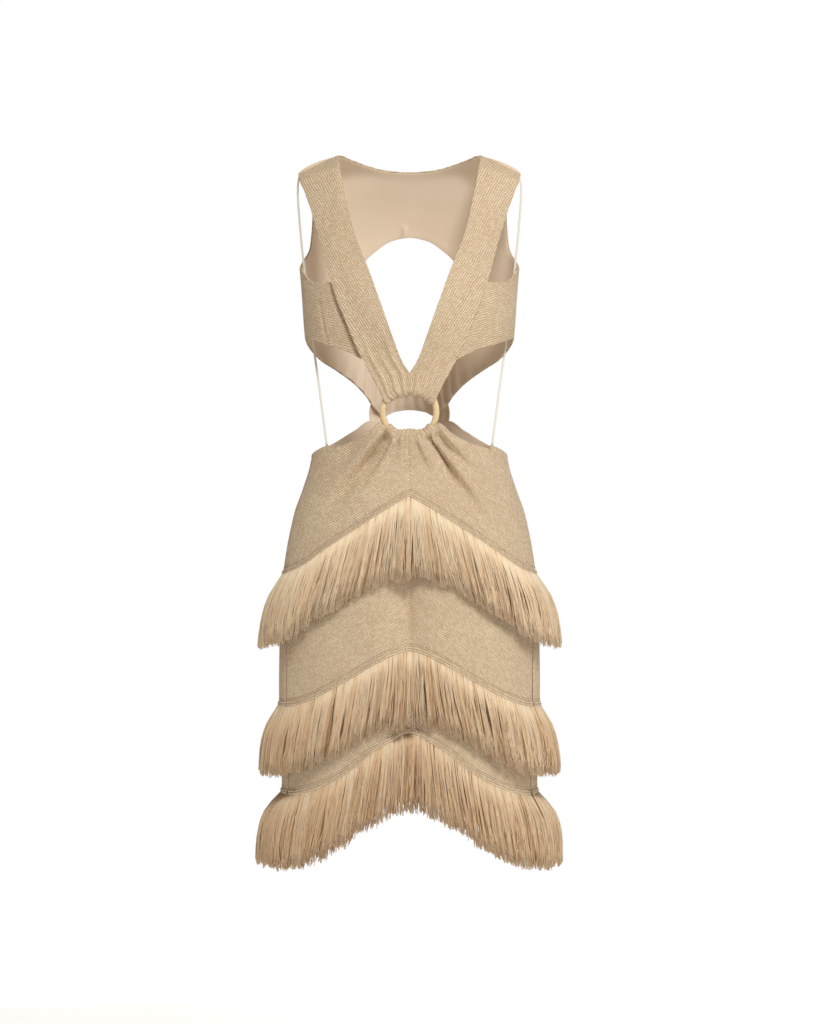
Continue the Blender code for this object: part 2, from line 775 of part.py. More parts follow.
ROW_NAMES = ("fringe_top", "fringe_mid", "fringe_low")
first = len(UPPER_ROWS)
for k, (name, start) in enumerate(zip(ROW_NAMES, (0, 4, 7))):
    tops, feet = front_outer[first + start], front_outer[first + start + 1]
    angles = [angle_in_front(t, p.z) for t, p in zip(FRONT_T, feet)]
    fringe(name + "_front", tops, feet, front_ways[first + start], angles, THREADS[k], k)

    over, under = LOWER_ROWS[start], LOWER_ROWS[start + 1]
    pairs = [(back_point(over, t), back_point(under, t)) for t in BACK_T]
    pairs = [((a + n * CLOTH, n), (b + m * CLOTH, m)) for (a, n), (b, m) in pairs]
    half = [(a, b, angle_in_back(t, b[0].z)) for t, (a, b) in zip(BACK_T, pairs)]
    flip = Vector((-1, 1, 1))
    whole = [(a[0], b[0], a[1], d) for a, b, d in half]
    whole += [(a[0] * flip, b[0] * flip, a[1] * flip, 360 - d) for a, b, d in half[-2::-1]]
    fine = []
    for now, then in zip(whole, whole[1:]):
        for s in range(LOCKS_A_COLUMN_BACK):
            f = s / LOCKS_A_COLUMN_BACK
            fine.append([lerp(a, b, f) for a, b in zip(now, then)])
    fine.append(list(whole[-1]))
    tops, feet, out_ways, angles = (list(column) for column in zip(*fine))
    fringe(name + "_back", tops, feet, out_ways, angles, THREADS[k], k + 5)


# Hanging ribbons

for side, tag in ((-1, "l"), (1, "r")):
    curve = bpy.data.curves.new("hanger_ribbon_" + tag, "CURVE")
    curve.dimensions = "3D"
    curve.bevel_depth = RIBBON_R * MM
    curve.bevel_resolution = 2
    curve.use_fill_caps = True
    spline = curve.splines.new("POLY")
    spline.points.add(RIBBON_STEPS)
    for i in range(RIBBON_STEPS + 1):
        z = lerp(RIBBON[0][2], RIBBON[-1][2], i / RIBBON_STEPS)
        x, y = (smooth([(r[2], r[c]) for r in RIBBON], z) for c in (0, 1))
        spline.points[i].co = (x * side * MM, y * MM, z * MM, 1)
    ribbon = bpy.data.objects.new(curve.name, curve)
    curve.materials.append(material(curve.name, RIBBON_COLOUR, 0.6))
    parts.objects.link(ribbon)
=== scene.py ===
# %% [markdown]
# # A fringed dress of straw-coloured cloth
#
# The dress stands open as it is worn: two wide straps loop round a resin ring, the skirt is gathered
# over the same ring, and three rows of long threads hang from its seams. This lesson dresses the
# plain solids of the dress. It loads them first, because every piece made below takes the place of
# one of them and has to lie where that one lies.

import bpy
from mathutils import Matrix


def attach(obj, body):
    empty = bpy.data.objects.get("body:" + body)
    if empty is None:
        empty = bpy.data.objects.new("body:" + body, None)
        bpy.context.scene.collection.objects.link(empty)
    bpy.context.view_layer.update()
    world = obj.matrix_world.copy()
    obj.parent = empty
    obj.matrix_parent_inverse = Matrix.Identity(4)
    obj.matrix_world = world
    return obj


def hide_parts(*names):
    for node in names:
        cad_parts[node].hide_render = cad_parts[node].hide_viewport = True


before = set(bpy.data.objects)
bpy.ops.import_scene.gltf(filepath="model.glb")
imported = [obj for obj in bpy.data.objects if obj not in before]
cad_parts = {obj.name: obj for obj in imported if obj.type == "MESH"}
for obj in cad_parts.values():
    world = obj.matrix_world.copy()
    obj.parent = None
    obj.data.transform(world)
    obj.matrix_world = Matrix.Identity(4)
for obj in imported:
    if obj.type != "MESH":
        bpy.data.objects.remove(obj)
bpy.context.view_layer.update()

# %% [markdown]
# ## Camera, floor and light
#
# A dress is photographed from far off with a long lens, level with its middle, so that the straps
# and the hem keep their true sizes. A soft box above the camera is the main light. A weak one
# stands at the side, a broad one behind, and a warm bright room fills the shadows, while the camera
# sees plain white. A pale disc far below is the floor.

# %% Camera
from math import cos, pi, radians, sin

import bmesh
import bpy
import numpy as np
from mathutils import Vector

MM = 0.001
CAMERA_AT = (0.0, -8.0, -0.522)
MIDDLE_DISTANCE = 7.9  # from the camera to the front of the dress
FRAME_HEIGHT = 1.4848  # metres that the frame spans there

bpy.ops.object.select_all(action="DESELECT")
bpy.ops.object.camera_add(location=CAMERA_AT, rotation=(radians(90), 0, 0))
camera = bpy.context.object
camera.data.sensor_width = 36
camera.data.lens = 36 * MIDDLE_DISTANCE / FRAME_HEIGHT
camera.data.clip_end = 60
bpy.context.scene.camera = camera
print("lens", round(camera.data.lens, 1), "mm")

# %% Light
ROOM_COLOUR, ROOM_STRENGTH = (1.0, 0.92, 0.81, 1), 0.385

bpy.context.scene.view_settings.view_transform = "Standard"
world = bpy.data.worlds.new("bright room")
bpy.context.scene.world = world
world.use_nodes = True
room = world.node_tree.nodes["Background"]
room.inputs["Color"].default_value = ROOM_COLOUR
room.inputs["Strength"].default_value = ROOM_STRENGTH
seen = world.node_tree.nodes.new("ShaderNodeBackground")
seen.inputs["Color"].default_value = (1, 1, 1, 1)
seen.inputs["Strength"].default_value = 1.0
path = world.node_tree.nodes.new("ShaderNodeLightPath")
either = world.node_tree.nodes.new("ShaderNodeMixShader")
world.node_tree.links.new(path.outputs["Is Camera Ray"], either.inputs[0])
world.node_tree.links.new(room.outputs[0], either.inputs[1])
world.node_tree.links.new(seen.outputs[0], either.inputs[2])
world.node_tree.links.new(either.outputs[0], world.node_tree.nodes["World Output"].inputs["Surface"])


def soft_box(name, at, aim, size, watts, colour):
    """A square lamp that faces the point aim."""
    bpy.ops.object.light_add(type="AREA", location=at)
    lamp = bpy.context.object
    lamp.name = name
    lamp.data.size = size
    lamp.data.energy = watts
    lamp.data.color = colour
    lamp.rotation_euler = (Vector(aim) - Vector(at)).to_track_quat("-Z", "Y").to_euler()


soft_box("high front light", (0.62, -2.7, 1.8), (0, 0, -0.45), 0.8, 81, (0.975, 0.99, 1.0))
soft_box("side light", (2.7, -1.2, 0.3), (0, 0, -0.55), 1.0, 12, (0.985, 0.99, 1.0))
soft_box("back light", (0.6, 3.2, 0.9), (0, 0, -0.5), 1.6, 44, (1.0, 1.0, 1.0))

# %% Floor
FLOOR_Z, FLOOR_RADIUS, FLOOR_GLOW = -1.45, 2.3, 0.28
bpy.ops.mesh.primitive_circle_add(
    vertices=96, radius=FLOOR_RADIUS, fill_type="NGON", location=(0, 0, FLOOR_Z)
)
floor = bpy.context.object
floor.name = "floor"
floor_paint = bpy.data.materials.new("pale floor")
floor_paint.use_nodes = True
floor_shader = floor_paint.node_tree.nodes["Principled BSDF"]
floor_shader.inputs["Base Color"].default_value = (0.92, 0.92, 0.91, 1)
floor_shader.inputs["Roughness"].default_value = 0.9
floor_shader.inputs["Emission Color"].default_value = (1, 1, 1, 1)
floor_shader.inputs["Emission Strength"].default_value = FLOOR_GLOW
floor.data.materials.append(floor_paint)
print("floor", FLOOR_Z)

# %% [markdown]
# ## The form under the cloth
#
# Cloth that is worn follows the wearer. Here that is a smooth form made of rounded ovals: one short
# table gives its half width at each height, another its depth in front and behind. Every piece of
# cloth is a grid of points on this form, moved straight out by its own thickness and folds.
# Sizes are in millimetres.

# %% Tables of the form
CLOTH = 2.0
LINING = 1.0
SQUARE = 2.2  # 2 is an ellipse, more is squarer
WIDTH = (  # height, half width
    (10, 176), (-30, 175), (-80, 171), (-130, 165), (-165, 159.5), (-207, 156), (-268, 151.5),
    (-300, 146), (-360, 134), (-400, 136), (-424, 139), (-438, 141.5), (-455, 144), (-490, 155),
    (-519, 166), (-548, 173), (-581, 179), (-613, 183.5), (-660, 188), (-720, 189), (-803, 189),
    (-932, 185.5), (-1060, 184),
)
DEPTH = (  # height under the shoulder, front, back
    (0, 0, 0), (-12, 35, 34), (-24, 47, 50), (-45, 60, 62), (-85, 78, 78), (-130, 92, 88),
    (-170, 103, 91), (-217, 118, 92), (-245, 119, 90), (-272, 114, 87), (-300, 109, 85),
    (-340, 105, 84), (-380, 101, 84), (-424, 99, 87), (-460, 101, 97), (-507, 106, 108),
    (-572, 112, 121), (-613, 114, 125), (-718, 114, 122), (-803, 112, 118), (-932, 110, 115),
    (-1060, 109, 114),
)
SHOULDER_IN, SHOULDER_OUT, SHOULDER_DROP = 105.0, 163.0, 27.0

# %% Curves through the tables


def smooth(table, x, column=1):
    """A smooth curve through a table's rows that never overshoots them."""
    rows = table if table[0][0] < table[-1][0] else table[::-1]
    xs, ys = [r[0] for r in rows], [r[column] for r in rows]
    if x <= xs[0] or x >= xs[-1]:
        return ys[0] if x <= xs[0] else ys[-1]
    i = max(k for k in range(len(xs) - 1) if xs[k] <= x)
    slope = [(ys[k + 1] - ys[k]) / (xs[k + 1] - xs[k]) for k in range(len(xs) - 1)]

    def tangent(k):
        if k == 0 or k == len(xs) - 1:
            return slope[0] if k == 0 else slope[-1]
        a, b = slope[k - 1], slope[k]
        return 0 if a * b <= 0 else 2 * a * b / (a + b)

    h = xs[i + 1] - xs[i]
    t = (x - xs[i]) / h
    return (ys[i] * (1 + 2 * t) * (1 - t) ** 2 + ys[i + 1] * t * t * (3 - 2 * t)
            + h * t * (1 - t) * (tangent(i) * (1 - t) - tangent(i + 1) * t))


def sampled(table, column=1, step=0.5):
    """The same curve, worked out once at close steps, for quick reading."""
    ends = sorted((table[0][0], table[-1][0]))
    at = np.arange(ends[0], ends[1] + step, step)
    values = np.array([smooth(table, x, column) for x in at])
    return lambda x: np.interp(x, at, values)


half_width = sampled(WIDTH)
depth_front, depth_back = sampled(DEPTH, 1), sampled(DEPTH, 2)
print("waist", 2 * round(float(half_width(-360))), "mm wide, hips", 2 * round(float(half_width(-720))))

# %% Points of the form


def lerp(a, b, t):
    return a + (b - a) * t


def ease(t):
    t = np.clip(t, 0.0, 1.0)
    return t * t * (3 - 2 * t)


def bell(x, half):
    """1 at x = 0, falling smoothly away on both sides."""
    return np.exp(-((x / half) ** 2))


def depth(x, z, back):
    slope = np.clip((np.abs(x) - SHOULDER_IN) / (SHOULDER_OUT - SHOULDER_IN), 0, 1.2)
    under = np.minimum(z + SHOULDER_DROP * slope * np.clip((z + 170) / 130, 0, 1), 0)
    return np.where(back, depth_back(under), depth_front(under))


def round_at(angle, z):
    """Points of the form, angle degrees round from the front (left is negative)."""
    s, c = np.sin(np.radians(angle)), np.cos(np.radians(angle))
    x = half_width(z) * np.abs(s) ** (2 / SQUARE) * np.sign(s)
    y = depth(x, z, c < 0) * np.abs(c) ** (2 / SQUARE) * np.where(c < 0, 1, -1)
    return np.stack(np.broadcast_arrays(x, y, z), -1).astype(float)


def angle_of(x, z):
    """Degrees round from the front for a point of the front half."""
    return np.degrees(np.arcsin(np.clip(np.abs(x) / half_width(z), 0, 1) ** (SQUARE / 2)))


def unit(v):
    return v / np.maximum(np.linalg.norm(v, axis=-1, keepdims=True), 1e-9)


def outward_at(angle, z):
    """The direction straight out of the form."""
    round_way = round_at(angle + 0.6, z - 0.1) - round_at(angle - 0.6, z - 0.1)
    down = round_at(angle, z - 1.1) - round_at(angle, z - 0.1)
    return unit(np.cross(down, round_way))


def form_at(angle, z):
    return round_at(angle, z), outward_at(angle, z)


# %% Distance round the form
GIRTH_AT = -720.0
turns = np.arange(0, 181, 1.0)
girth_steps = np.linalg.norm(np.diff(round_at(turns, np.full_like(turns, GIRTH_AT)), axis=0), axis=1)
girth_mm = np.concatenate([[0], np.cumsum(girth_steps)])
HALF_GIRTH = girth_mm[-1]


def share_of(angle):
    return np.interp(angle, turns, girth_mm / HALF_GIRTH)


def angle_at_share(share):
    return np.interp(share, girth_mm / HALF_GIRTH, turns)


def around(points):
    """Millimetres round the form from the middle of the front, for the weave to follow."""
    x, y, z = points[..., 0], points[..., 1], points[..., 2]
    sine = (np.abs(x) / half_width(z)) ** (SQUARE / 2)
    cosine = (np.abs(y) / np.maximum(depth(x, z, y > 0), 1)) ** (SQUARE / 2)
    near_side = np.degrees(np.arctan2(sine, np.where(y > 0, -cosine, cosine)))
    angle = np.where(y > 0, 180 - angle_of(x, z), angle_of(x, z))
    angle = lerp(angle, near_side, ease((np.abs(x) / half_width(z) - 0.82) / 0.12))
    return share_of(angle) * HALF_GIRTH * np.where(x < 0, -1, 1) * half_width(z) / half_width(GIRTH_AT)


def flat_round(grid, slant=0.0):
    """Flat coordinates that follow the form, with ribs that slant away from the middle."""
    across = around(grid)
    return np.stack([across, grid[..., 2] + slant * np.abs(across)], -1)


print("half the hip girth", round(HALF_GIRTH), "mm")

# %% [markdown]
# ## Finishes
#
# The woven cloth is a coarse straw tweed: thick ribs, each a row of short slanted nubs in slightly
# different tones, with painted shade where they sink between. A node group makes that pattern once
# from the cloth's own flat coordinates, which are in metres, so that one rib is the same size on every
# piece and turns with the cloth. The group gives out a colour, with that painted shade in it, and a
# height, and the shader stays outside.

# %% Colours


def straw(r, g, b):
    """A colour read off the cloth with an eye-dropper (0 to 255), as the light it stands for."""
    return tuple(((c / 255 + 0.055) / 1.055) ** 2.4 for c in (r, g, b)) + (1.0,)


# The third weave colour is painted shade, for the sunk places between the ribs.
WEAVE_LIGHT, WEAVE_MIDDLE, WEAVE_PAINTED_SHADE = straw(240, 220, 190), straw(204, 177, 143), straw(134, 100, 68)

# %% Node helpers


def place(tree, kind, inputs=(), **settings):
    """Adds a node, sets its options, and fills its inputs with values or other nodes' outputs."""
    node = tree.nodes.new(kind)
    for key, value in settings.items():
        setattr(node, key, value)
    for key, value in dict(inputs).items():
        if isinstance(value, bpy.types.NodeSocket):
            tree.links.new(value, node.inputs[key])
        else:
            node.inputs[key].default_value = value
    return node


def math(tree, operation, a, b=0.0, clamp=False):
    return place(tree, "ShaderNodeMath", {0: a, 1: b}, operation=operation, use_clamp=clamp).outputs[0]


def mix(tree, share, a, b, blend="MIX"):
    node = place(tree, "ShaderNodeMix", {0: share, 6: a, 7: b}, data_type="RGBA", blend_type=blend)
    return node.outputs[2]


def noise(tree, vector, scale, detail=2.0, **more):
    inputs = {"Vector": vector, "Scale": scale, "Detail": detail, **more}
    return place(tree, "ShaderNodeTexNoise", inputs).outputs[0]


def noise_here(tree, scale, detail=1.0, **more):
    """Noise over the piece's own place in space."""
    return noise(tree, place(tree, "ShaderNodeTexCoord").outputs["Object"], scale, detail, **more)


def new_group(name, inputs, outputs):
    tree = bpy.data.node_groups.new(name, "ShaderNodeTree")
    for label, kind, value in inputs:
        socket = tree.interface.new_socket(label, in_out="INPUT", socket_type=kind)
        if value is not None:
            socket.default_value = value
    for label, kind in outputs:
        tree.interface.new_socket(label, in_out="OUTPUT", socket_type=kind)
    return tree, tree.nodes.new("NodeGroupInput").outputs, tree.nodes.new("NodeGroupOutput").inputs


# %% The weave group
RIBS, NUBS, RIB_WANDER = 300.0, 330.0, 1.6  # in each metre, and how many ribs a rib strays
NUB_SHIFT, NUB_SLANT = 0.37, 0.45  # shares of a nub from rib to rib, and across one rib

weave, given, out = new_group(
    "ribbed weave",
    [("Flat", "NodeSocketVector", None), ("Ribs per metre", "NodeSocketFloat", RIBS),
     ("Nubs per metre", "NodeSocketFloat", NUBS), ("Light", "NodeSocketColor", WEAVE_LIGHT),
     ("Middle", "NodeSocketColor", WEAVE_MIDDLE), ("Painted shade", "NodeSocketColor", WEAVE_PAINTED_SHADE)],
    [("Colour", "NodeSocketColor"), ("Height", "NodeSocketFloat")],
)


def add(a, b, clamp=False):
    return math(weave, "ADD", a, b, clamp)


def times(a, b):
    return math(weave, "MULTIPLY", a, b)


def humps(value, power):
    """One round hump for each whole step of a value."""
    wave = math(weave, "SINE", times(value, pi))
    return math(weave, "POWER", math(weave, "ABSOLUTE", wave), power)


along_rib, across_ribs = place(weave, "ShaderNodeSeparateXYZ", {0: given["Flat"]}).outputs[:2]
rib = times(across_ribs, given["Ribs per metre"])
rib = add(rib, times(noise(weave, given["Flat"], 55.0), RIB_WANDER))
row = math(weave, "FLOOR", rib)
nub = times(along_rib, given["Nubs per metre"])
nub = add(add(nub, times(row, NUB_SHIFT)), times(rib, NUB_SLANT))
height = times(humps(rib, 0.45), add(times(humps(nub, 0.6), 0.5), 0.5))
cell = place(weave, "ShaderNodeCombineXYZ", {0: math(weave, "FLOOR", nub), 1: row})
yarn = place(weave, "ShaderNodeTexWhiteNoise", {"Vector": cell.outputs[0]})
patch, hair = noise(weave, given["Flat"], 14.0, 3.0), noise(weave, given["Flat"], 900.0)
tone = add(times(yarn.outputs[0], 0.55), times(patch, 0.45))
tone = add(tone, times(hair, 0.22), clamp=True)
body = mix(weave, tone, given["Middle"], given["Light"])
# Painted shade: the colour goes towards the shade colour where the nubs sink between the ribs.
sunk = math(weave, "SUBTRACT", 1.0, math(weave, "POWER", height, 0.8), clamp=True)
colour = mix(weave, times(sunk, 0.95), body, given["Painted shade"])
weave.links.new(colour, out["Colour"])
weave.links.new(add(height, times(hair, 0.15)), out["Height"])
print("weave group", len(weave.nodes), "nodes")

# %% Woven cloth


def finish(name, roughness, sheen=0.0, sheen_roughness=0.5):
    m = bpy.data.materials.new(name)
    m.use_nodes = True
    shader = m.node_tree.nodes["Principled BSDF"]
    shader.inputs["Roughness"].default_value = roughness
    shader.inputs["Sheen Weight"].default_value = sheen
    shader.inputs["Sheen Roughness"].default_value = sheen_roughness
    shader.inputs["Specular IOR Level"].default_value = 0.2
    return m, m.node_tree, shader


def raise_by(tree, shader, height, distance, strength):
    bump = place(tree, "ShaderNodeBump", {"Height": height, "Distance": distance, "Strength": strength})
    tree.links.new(bump.outputs[0], shader.inputs["Normal"])


woven, tree, shader = finish("woven straw cloth", 0.9, 0.12)
flat = place(tree, "ShaderNodeUVMap", uv_map="flat")
cloth_pattern = place(tree, "ShaderNodeGroup", node_tree=weave)
tree.links.new(flat.outputs[0], cloth_pattern.inputs["Flat"])
tree.links.new(cloth_pattern.outputs["Colour"], shader.inputs["Base Color"])
raise_by(tree, shader, cloth_pattern.outputs["Height"], 0.0011, 0.75)

# %% [markdown]
# The lining is a fine smooth cloth with a low sheen. Its threads are too small to see, so it has
# only a faint cloudiness and a very fine grain.

# %% Lining
lining, tree, shader = finish("smooth tan lining", 0.55, 0.15, 0.35)
flat = place(tree, "ShaderNodeUVMap", uv_map="flat").outputs[0]
cloud, grain = noise(tree, flat, 9.0, 3.0), noise(tree, flat, 1400.0, 1.0)
base = mix(tree, cloud, straw(221, 199, 173), straw(236, 219, 197))
base = mix(tree, math(tree, "MULTIPLY", grain, 0.10), base, straw(170, 138, 106))
tree.links.new(base, shader.inputs["Base Color"])
raise_by(tree, shader, grain, 0.0002, 0.35)

# %% [markdown]
# Each thread of the fringe has its own tone, kept in a colour attribute of the mesh: red is the
# thread's tone from its row, its lock and its own random number, darker with painted shade where it
# lies under the other threads; green how deep its tone is, which is pale at the seam, deepest past
# the middle and paler again at the tip, a painted highlight where light falls on the ends; and blue
# the row. Threads are twisted, so a fine uneven shade runs along them.

# %% Threads
thread, tree, shader = finish("fringe thread", 0.62, 0.06, 0.4)
tone_of = place(tree, "ShaderNodeVertexColor", layer_name="tone")
split = place(tree, "ShaderNodeSeparateColor", {0: tone_of.outputs[0]})
ramp = place(tree, "ShaderNodeValToRGB", {0: split.outputs[0]})
# The dark end of the ramp is partly darker threads at random and partly painted shade on threads under the
# others.
ramp.color_ramp.elements[0].color = straw(150, 98, 52)
ramp.color_ramp.elements[1].color = straw(253, 237, 208)
middle = ramp.color_ramp.elements.new(0.45)
middle.color = straw(241, 212, 173)
# Green deepens the tone past the middle of the thread; its paler tip is a painted highlight where light
# falls on the ends.
tone_by_length_and_tip_highlight = math(tree, "MULTIPLY", split.outputs[1], 0.48)
by_tier = math(tree, "MULTIPLY", split.outputs[2], 0.18)
deeper = math(tree, "ADD", tone_by_length_and_tip_highlight, by_tier)
base = mix(tree, deeper, ramp.outputs[0], straw(182, 138, 94))
twist = noise_here(tree, 420.0)
base = mix(tree, math(tree, "MULTIPLY", twist, 0.14), base, straw(150, 112, 74))
tree.links.new(base, shader.inputs["Base Color"])
raise_by(tree, shader, twist, 0.0004, 0.5)

# %% [markdown]
# The ring is cast resin the colour of cream: glossy, very slightly clouded, with a clear coat.

# %% Resin, ribbon and stitches
resin, tree, shader = finish("cream resin", 0.22)
shader.inputs["Specular IOR Level"].default_value = 0.5
shader.inputs["Coat Weight"].default_value = 0.5
shader.inputs["Coat Roughness"].default_value = 0.08
cloud = noise_here(tree, 60.0, 3.0, Distortion=1.2)
tree.links.new(mix(tree, cloud, straw(212, 183, 134), straw(241, 216, 171)), shader.inputs["Base Color"])

satin, tree, shader = finish("off-white ribbon", 0.45, 0.1)
line = noise_here(tree, 700.0)
tree.links.new(mix(tree, line, straw(214, 208, 194), straw(240, 236, 226)), shader.inputs["Base Color"])
raise_by(tree, shader, line, 0.0002, 0.3)

sewing, tree, shader = finish("sewing thread", 0.6)
line = noise_here(tree, 900.0, 2.0)
tree.links.new(mix(tree, line, straw(132, 100, 66), straw(176, 142, 102)), shader.inputs["Base Color"])
print("finishes", [m.name for m in (woven, lining, thread, resin, satin, sewing)])

# %% [markdown]
# ## How a piece of cloth is made
#
# A piece starts as a grid of points on its outer face. The grid is turned to face out, given flat
# coordinates for the weave, then a wall on its inner side with Solidify, and its cut edges are
# rounded with a narrow Bevel. Both modifiers are applied, so that the piece is a plain closed mesh.

# %% Objects and materials
SIDES = ((-1, "l"), (1, "r"))


def new_object(name, points_mm, faces):
    mesh = bpy.data.meshes.new(name)
    mesh.from_pydata((points_mm.reshape(-1, 3) * MM).tolist(), [], faces)
    obj = bpy.data.objects.new(name, mesh)
    bpy.context.scene.collection.objects.link(obj)
    return obj


def paint(obj, material):
    obj.data.materials.clear()
    obj.data.materials.append(material)
    obj.data.shade_smooth()


def face_out(obj):
    """Turns every face of closed shells outwards."""
    bm = bmesh.new()
    bm.from_mesh(obj.data)
    bmesh.ops.recalc_face_normals(bm, faces=bm.faces)
    bm.to_mesh(obj.data)
    bm.free()


def belongs(obj, node=None):
    """Ties a piece to the dress, and hides the solid that it stands for."""
    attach(obj, "root")
    if node:
        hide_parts(node)


# %% Cloth from a grid
EDGE, LINING_EDGE = 0.7, 0.3  # how far the cut edges are rounded


def apply_all(obj):
    bpy.ops.object.select_all(action="DESELECT")
    bpy.context.view_layer.objects.active = obj
    obj.select_set(True)
    for mod in list(obj.modifiers):
        bpy.ops.object.modifier_apply(modifier=mod.name)
    obj.select_set(False)


def open_mesh(name, grid, flat_mm, keep=None, close_middle=False):
    """A surface over rows of points, with its flat coordinates, facing out of the dress."""
    rows, columns = grid.shape[:2]
    number = np.arange(rows * columns).reshape(rows, columns)
    faces = np.stack([number[:-1, :-1], number[1:, :-1], number[1:, 1:], number[:-1, 1:]], -1)
    faces = faces.reshape(-1, 4) if keep is None else faces[keep]
    obj = new_object(name, grid, faces.tolist())
    mesh = obj.data
    corners = np.empty(len(mesh.loops), dtype=np.int32)
    mesh.loops.foreach_get("vertex_index", corners)
    layer = mesh.uv_layers.new(name="flat")
    layer.data.foreach_set("uv", (flat_mm.reshape(-1, 2)[corners] * MM).ravel())
    bm = bmesh.new()
    bm.from_mesh(mesh)
    bmesh.ops.delete(bm, geom=[v for v in bm.verts if not v.link_faces], context="VERTS")
    if close_middle:
        bmesh.ops.remove_doubles(bm, verts=[v for v in bm.verts if abs(v.co.x) < 1e-6], dist=1e-6)
    bm.normal_update()
    level = Vector((1, 1, 0))
    if sum(f.normal.dot(f.calc_center_median() * level) for f in bm.faces) < 0:
        bmesh.ops.reverse_faces(bm, faces=bm.faces)
    bm.to_mesh(mesh)
    bm.free()
    return obj


def give_wall(obj, wall, material, edge=EDGE):
    mod = obj.modifiers.new("wall", "SOLIDIFY")
    mod.thickness, mod.offset, mod.use_even_offset = wall * MM, -1.0, False
    mod = obj.modifiers.new("soft edge", "BEVEL")
    mod.width, mod.segments, mod.limit_method, mod.angle_limit = edge * MM, 2, "ANGLE", radians(62)
    apply_all(obj)
    paint(obj, material)


def cloth(name, grid, flat_mm, wall, material, node, cut, keep=None, close_middle=False, edge=EDGE):
    """A finished piece of cloth that stands for a solid. cut is its flat (width, length, area)."""
    obj = open_mesh(name, grid, flat_mm, keep, close_middle)
    area = sum(face.area for face in obj.data.polygons)
    give_wall(obj, wall, material, edge)
    belongs(obj, node)
    print(f"{name}: {area:.4f} m2 shown, cut {cut}, {len(obj.data.polygons)} faces")
    return obj


def ripple(a, b):
    """A repeatable uneven value from -1 to 1."""
    return np.sin(a * 12.9898 + b * 78.233 + 0.7) * np.cos(a * 4.1 - b * 2.3)


# %% [markdown]
# ## The ring
#
# A torus is exactly what a cast ring is. It is added at its real size and place, fine enough to
# look round, and it keeps the solid's own radius.

# %% Ring
RING_R, RING_TUBE, RING_Y, RING_Z = 38.9, 4.6, -105.0, -377.0
SEAT = RING_TUBE + 0.4

bpy.ops.object.select_all(action="DESELECT")
bpy.ops.mesh.primitive_torus_add(
    major_radius=RING_R * MM, minor_radius=RING_TUBE * MM, major_segments=128, minor_segments=32,
    location=(0, RING_Y * MM, RING_Z * MM), rotation=(pi / 2, 0, 0),
)
resin_ring = bpy.context.object
resin_ring.name = "resin_ring"
bpy.ops.object.transform_apply(location=True, rotation=True, scale=True)
paint(resin_ring, resin)
belongs(resin_ring, "ring")
print("ring", round(2 * (RING_R + RING_TUBE)), "mm across")


def round_tube(arc, turn, top):
    """Points that wrap the ring's tube, and the direction out of the cloth there. arc is in degrees
    from the ring's top or bottom, turn in degrees from the front."""
    a, t = np.broadcast_arrays(np.radians(arc), np.radians(turn))
    up = 1 if top else -1
    inward = np.stack([-np.sin(a), 0 * a, -up * np.cos(a)], -1)
    way = inward * np.sin(t)[..., None] - np.array([0, 1, 0]) * np.cos(t)[..., None]
    return np.array([0, RING_Y, RING_Z]) - inward * RING_R + way * SEAT, way


# %% [markdown]
# ## The straps
#
# Each strap is one long piece: from the shoulder it comes down the chest, narrows, passes in front
# of the ring's tube, through the hole and up behind. The cloth bunches there, so ridges grow along
# the strap towards the ring, each with its own width and reach. A short table holds them.

# %% Strap sizes
STRAP = (  # inner edge x, z, outer edge x, z
    (105, 0, 163, -27), (98.5, -34, 153, -53), (90, -74, 142, -81), (78, -121, 129, -122),
    (62, -162, 116, -170), (46, -206, 102, -214), (30, -251, 84, -258), (14.5, -294, 65, -303),
    (0.5, -328, 48, -336),
)
STRAP_ARC = (0.1, 69.0)
BUNCH = 9.6
LAP = CLOTH + 0.9
STRAP_FOLDS = (  # place across the strap, half width, height, how far up it reaches (rows)
    (0.04, 0.05, 1.8, 1.6), (0.20, 0.06, 3.6, 2.4), (0.36, 0.035, 1.8, 0.8), (0.48, 0.06, 3.4, 1.7),
    (0.62, 0.035, 1.8, 0.7), (0.76, 0.06, 3.4, 2.9), (0.92, 0.045, 2.0, 1.0),
)
strap_x_in, strap_z_in, strap_x_out, strap_z_out = (
    sampled([(i, r[c]) for i, r in enumerate(STRAP)], step=0.05) for c in range(4)
)
MEET = (  # row, how much nearer the middle the inner edge comes
    (0, 0), (7.0, 0), (7.4, 1.2), (7.6, 2.6), (7.75, 3.8), (7.9, 2.6), (8, 1.2),
)
STAND_OFF = {-1: 3.2, 1: 1.0}  # how far the outer edge lifts off the bust, left and right
meet_at = sampled(MEET, step=0.05)

# %% Straps


def strap_folds(u, s, side):
    """Height of the bunched ridges at a place across (u) and along (s) the strap."""
    total = 0 * u * s
    for i, (middle, half, tall, reach) in enumerate(STRAP_FOLDS):
        at = middle + 0.03 * ripple(i, 3 if side > 0 else 8)
        grows = ease((s - (8 - reach)) / max(reach, 0.1))
        total = total + tall * grows * bell(u - at, half)
    return total


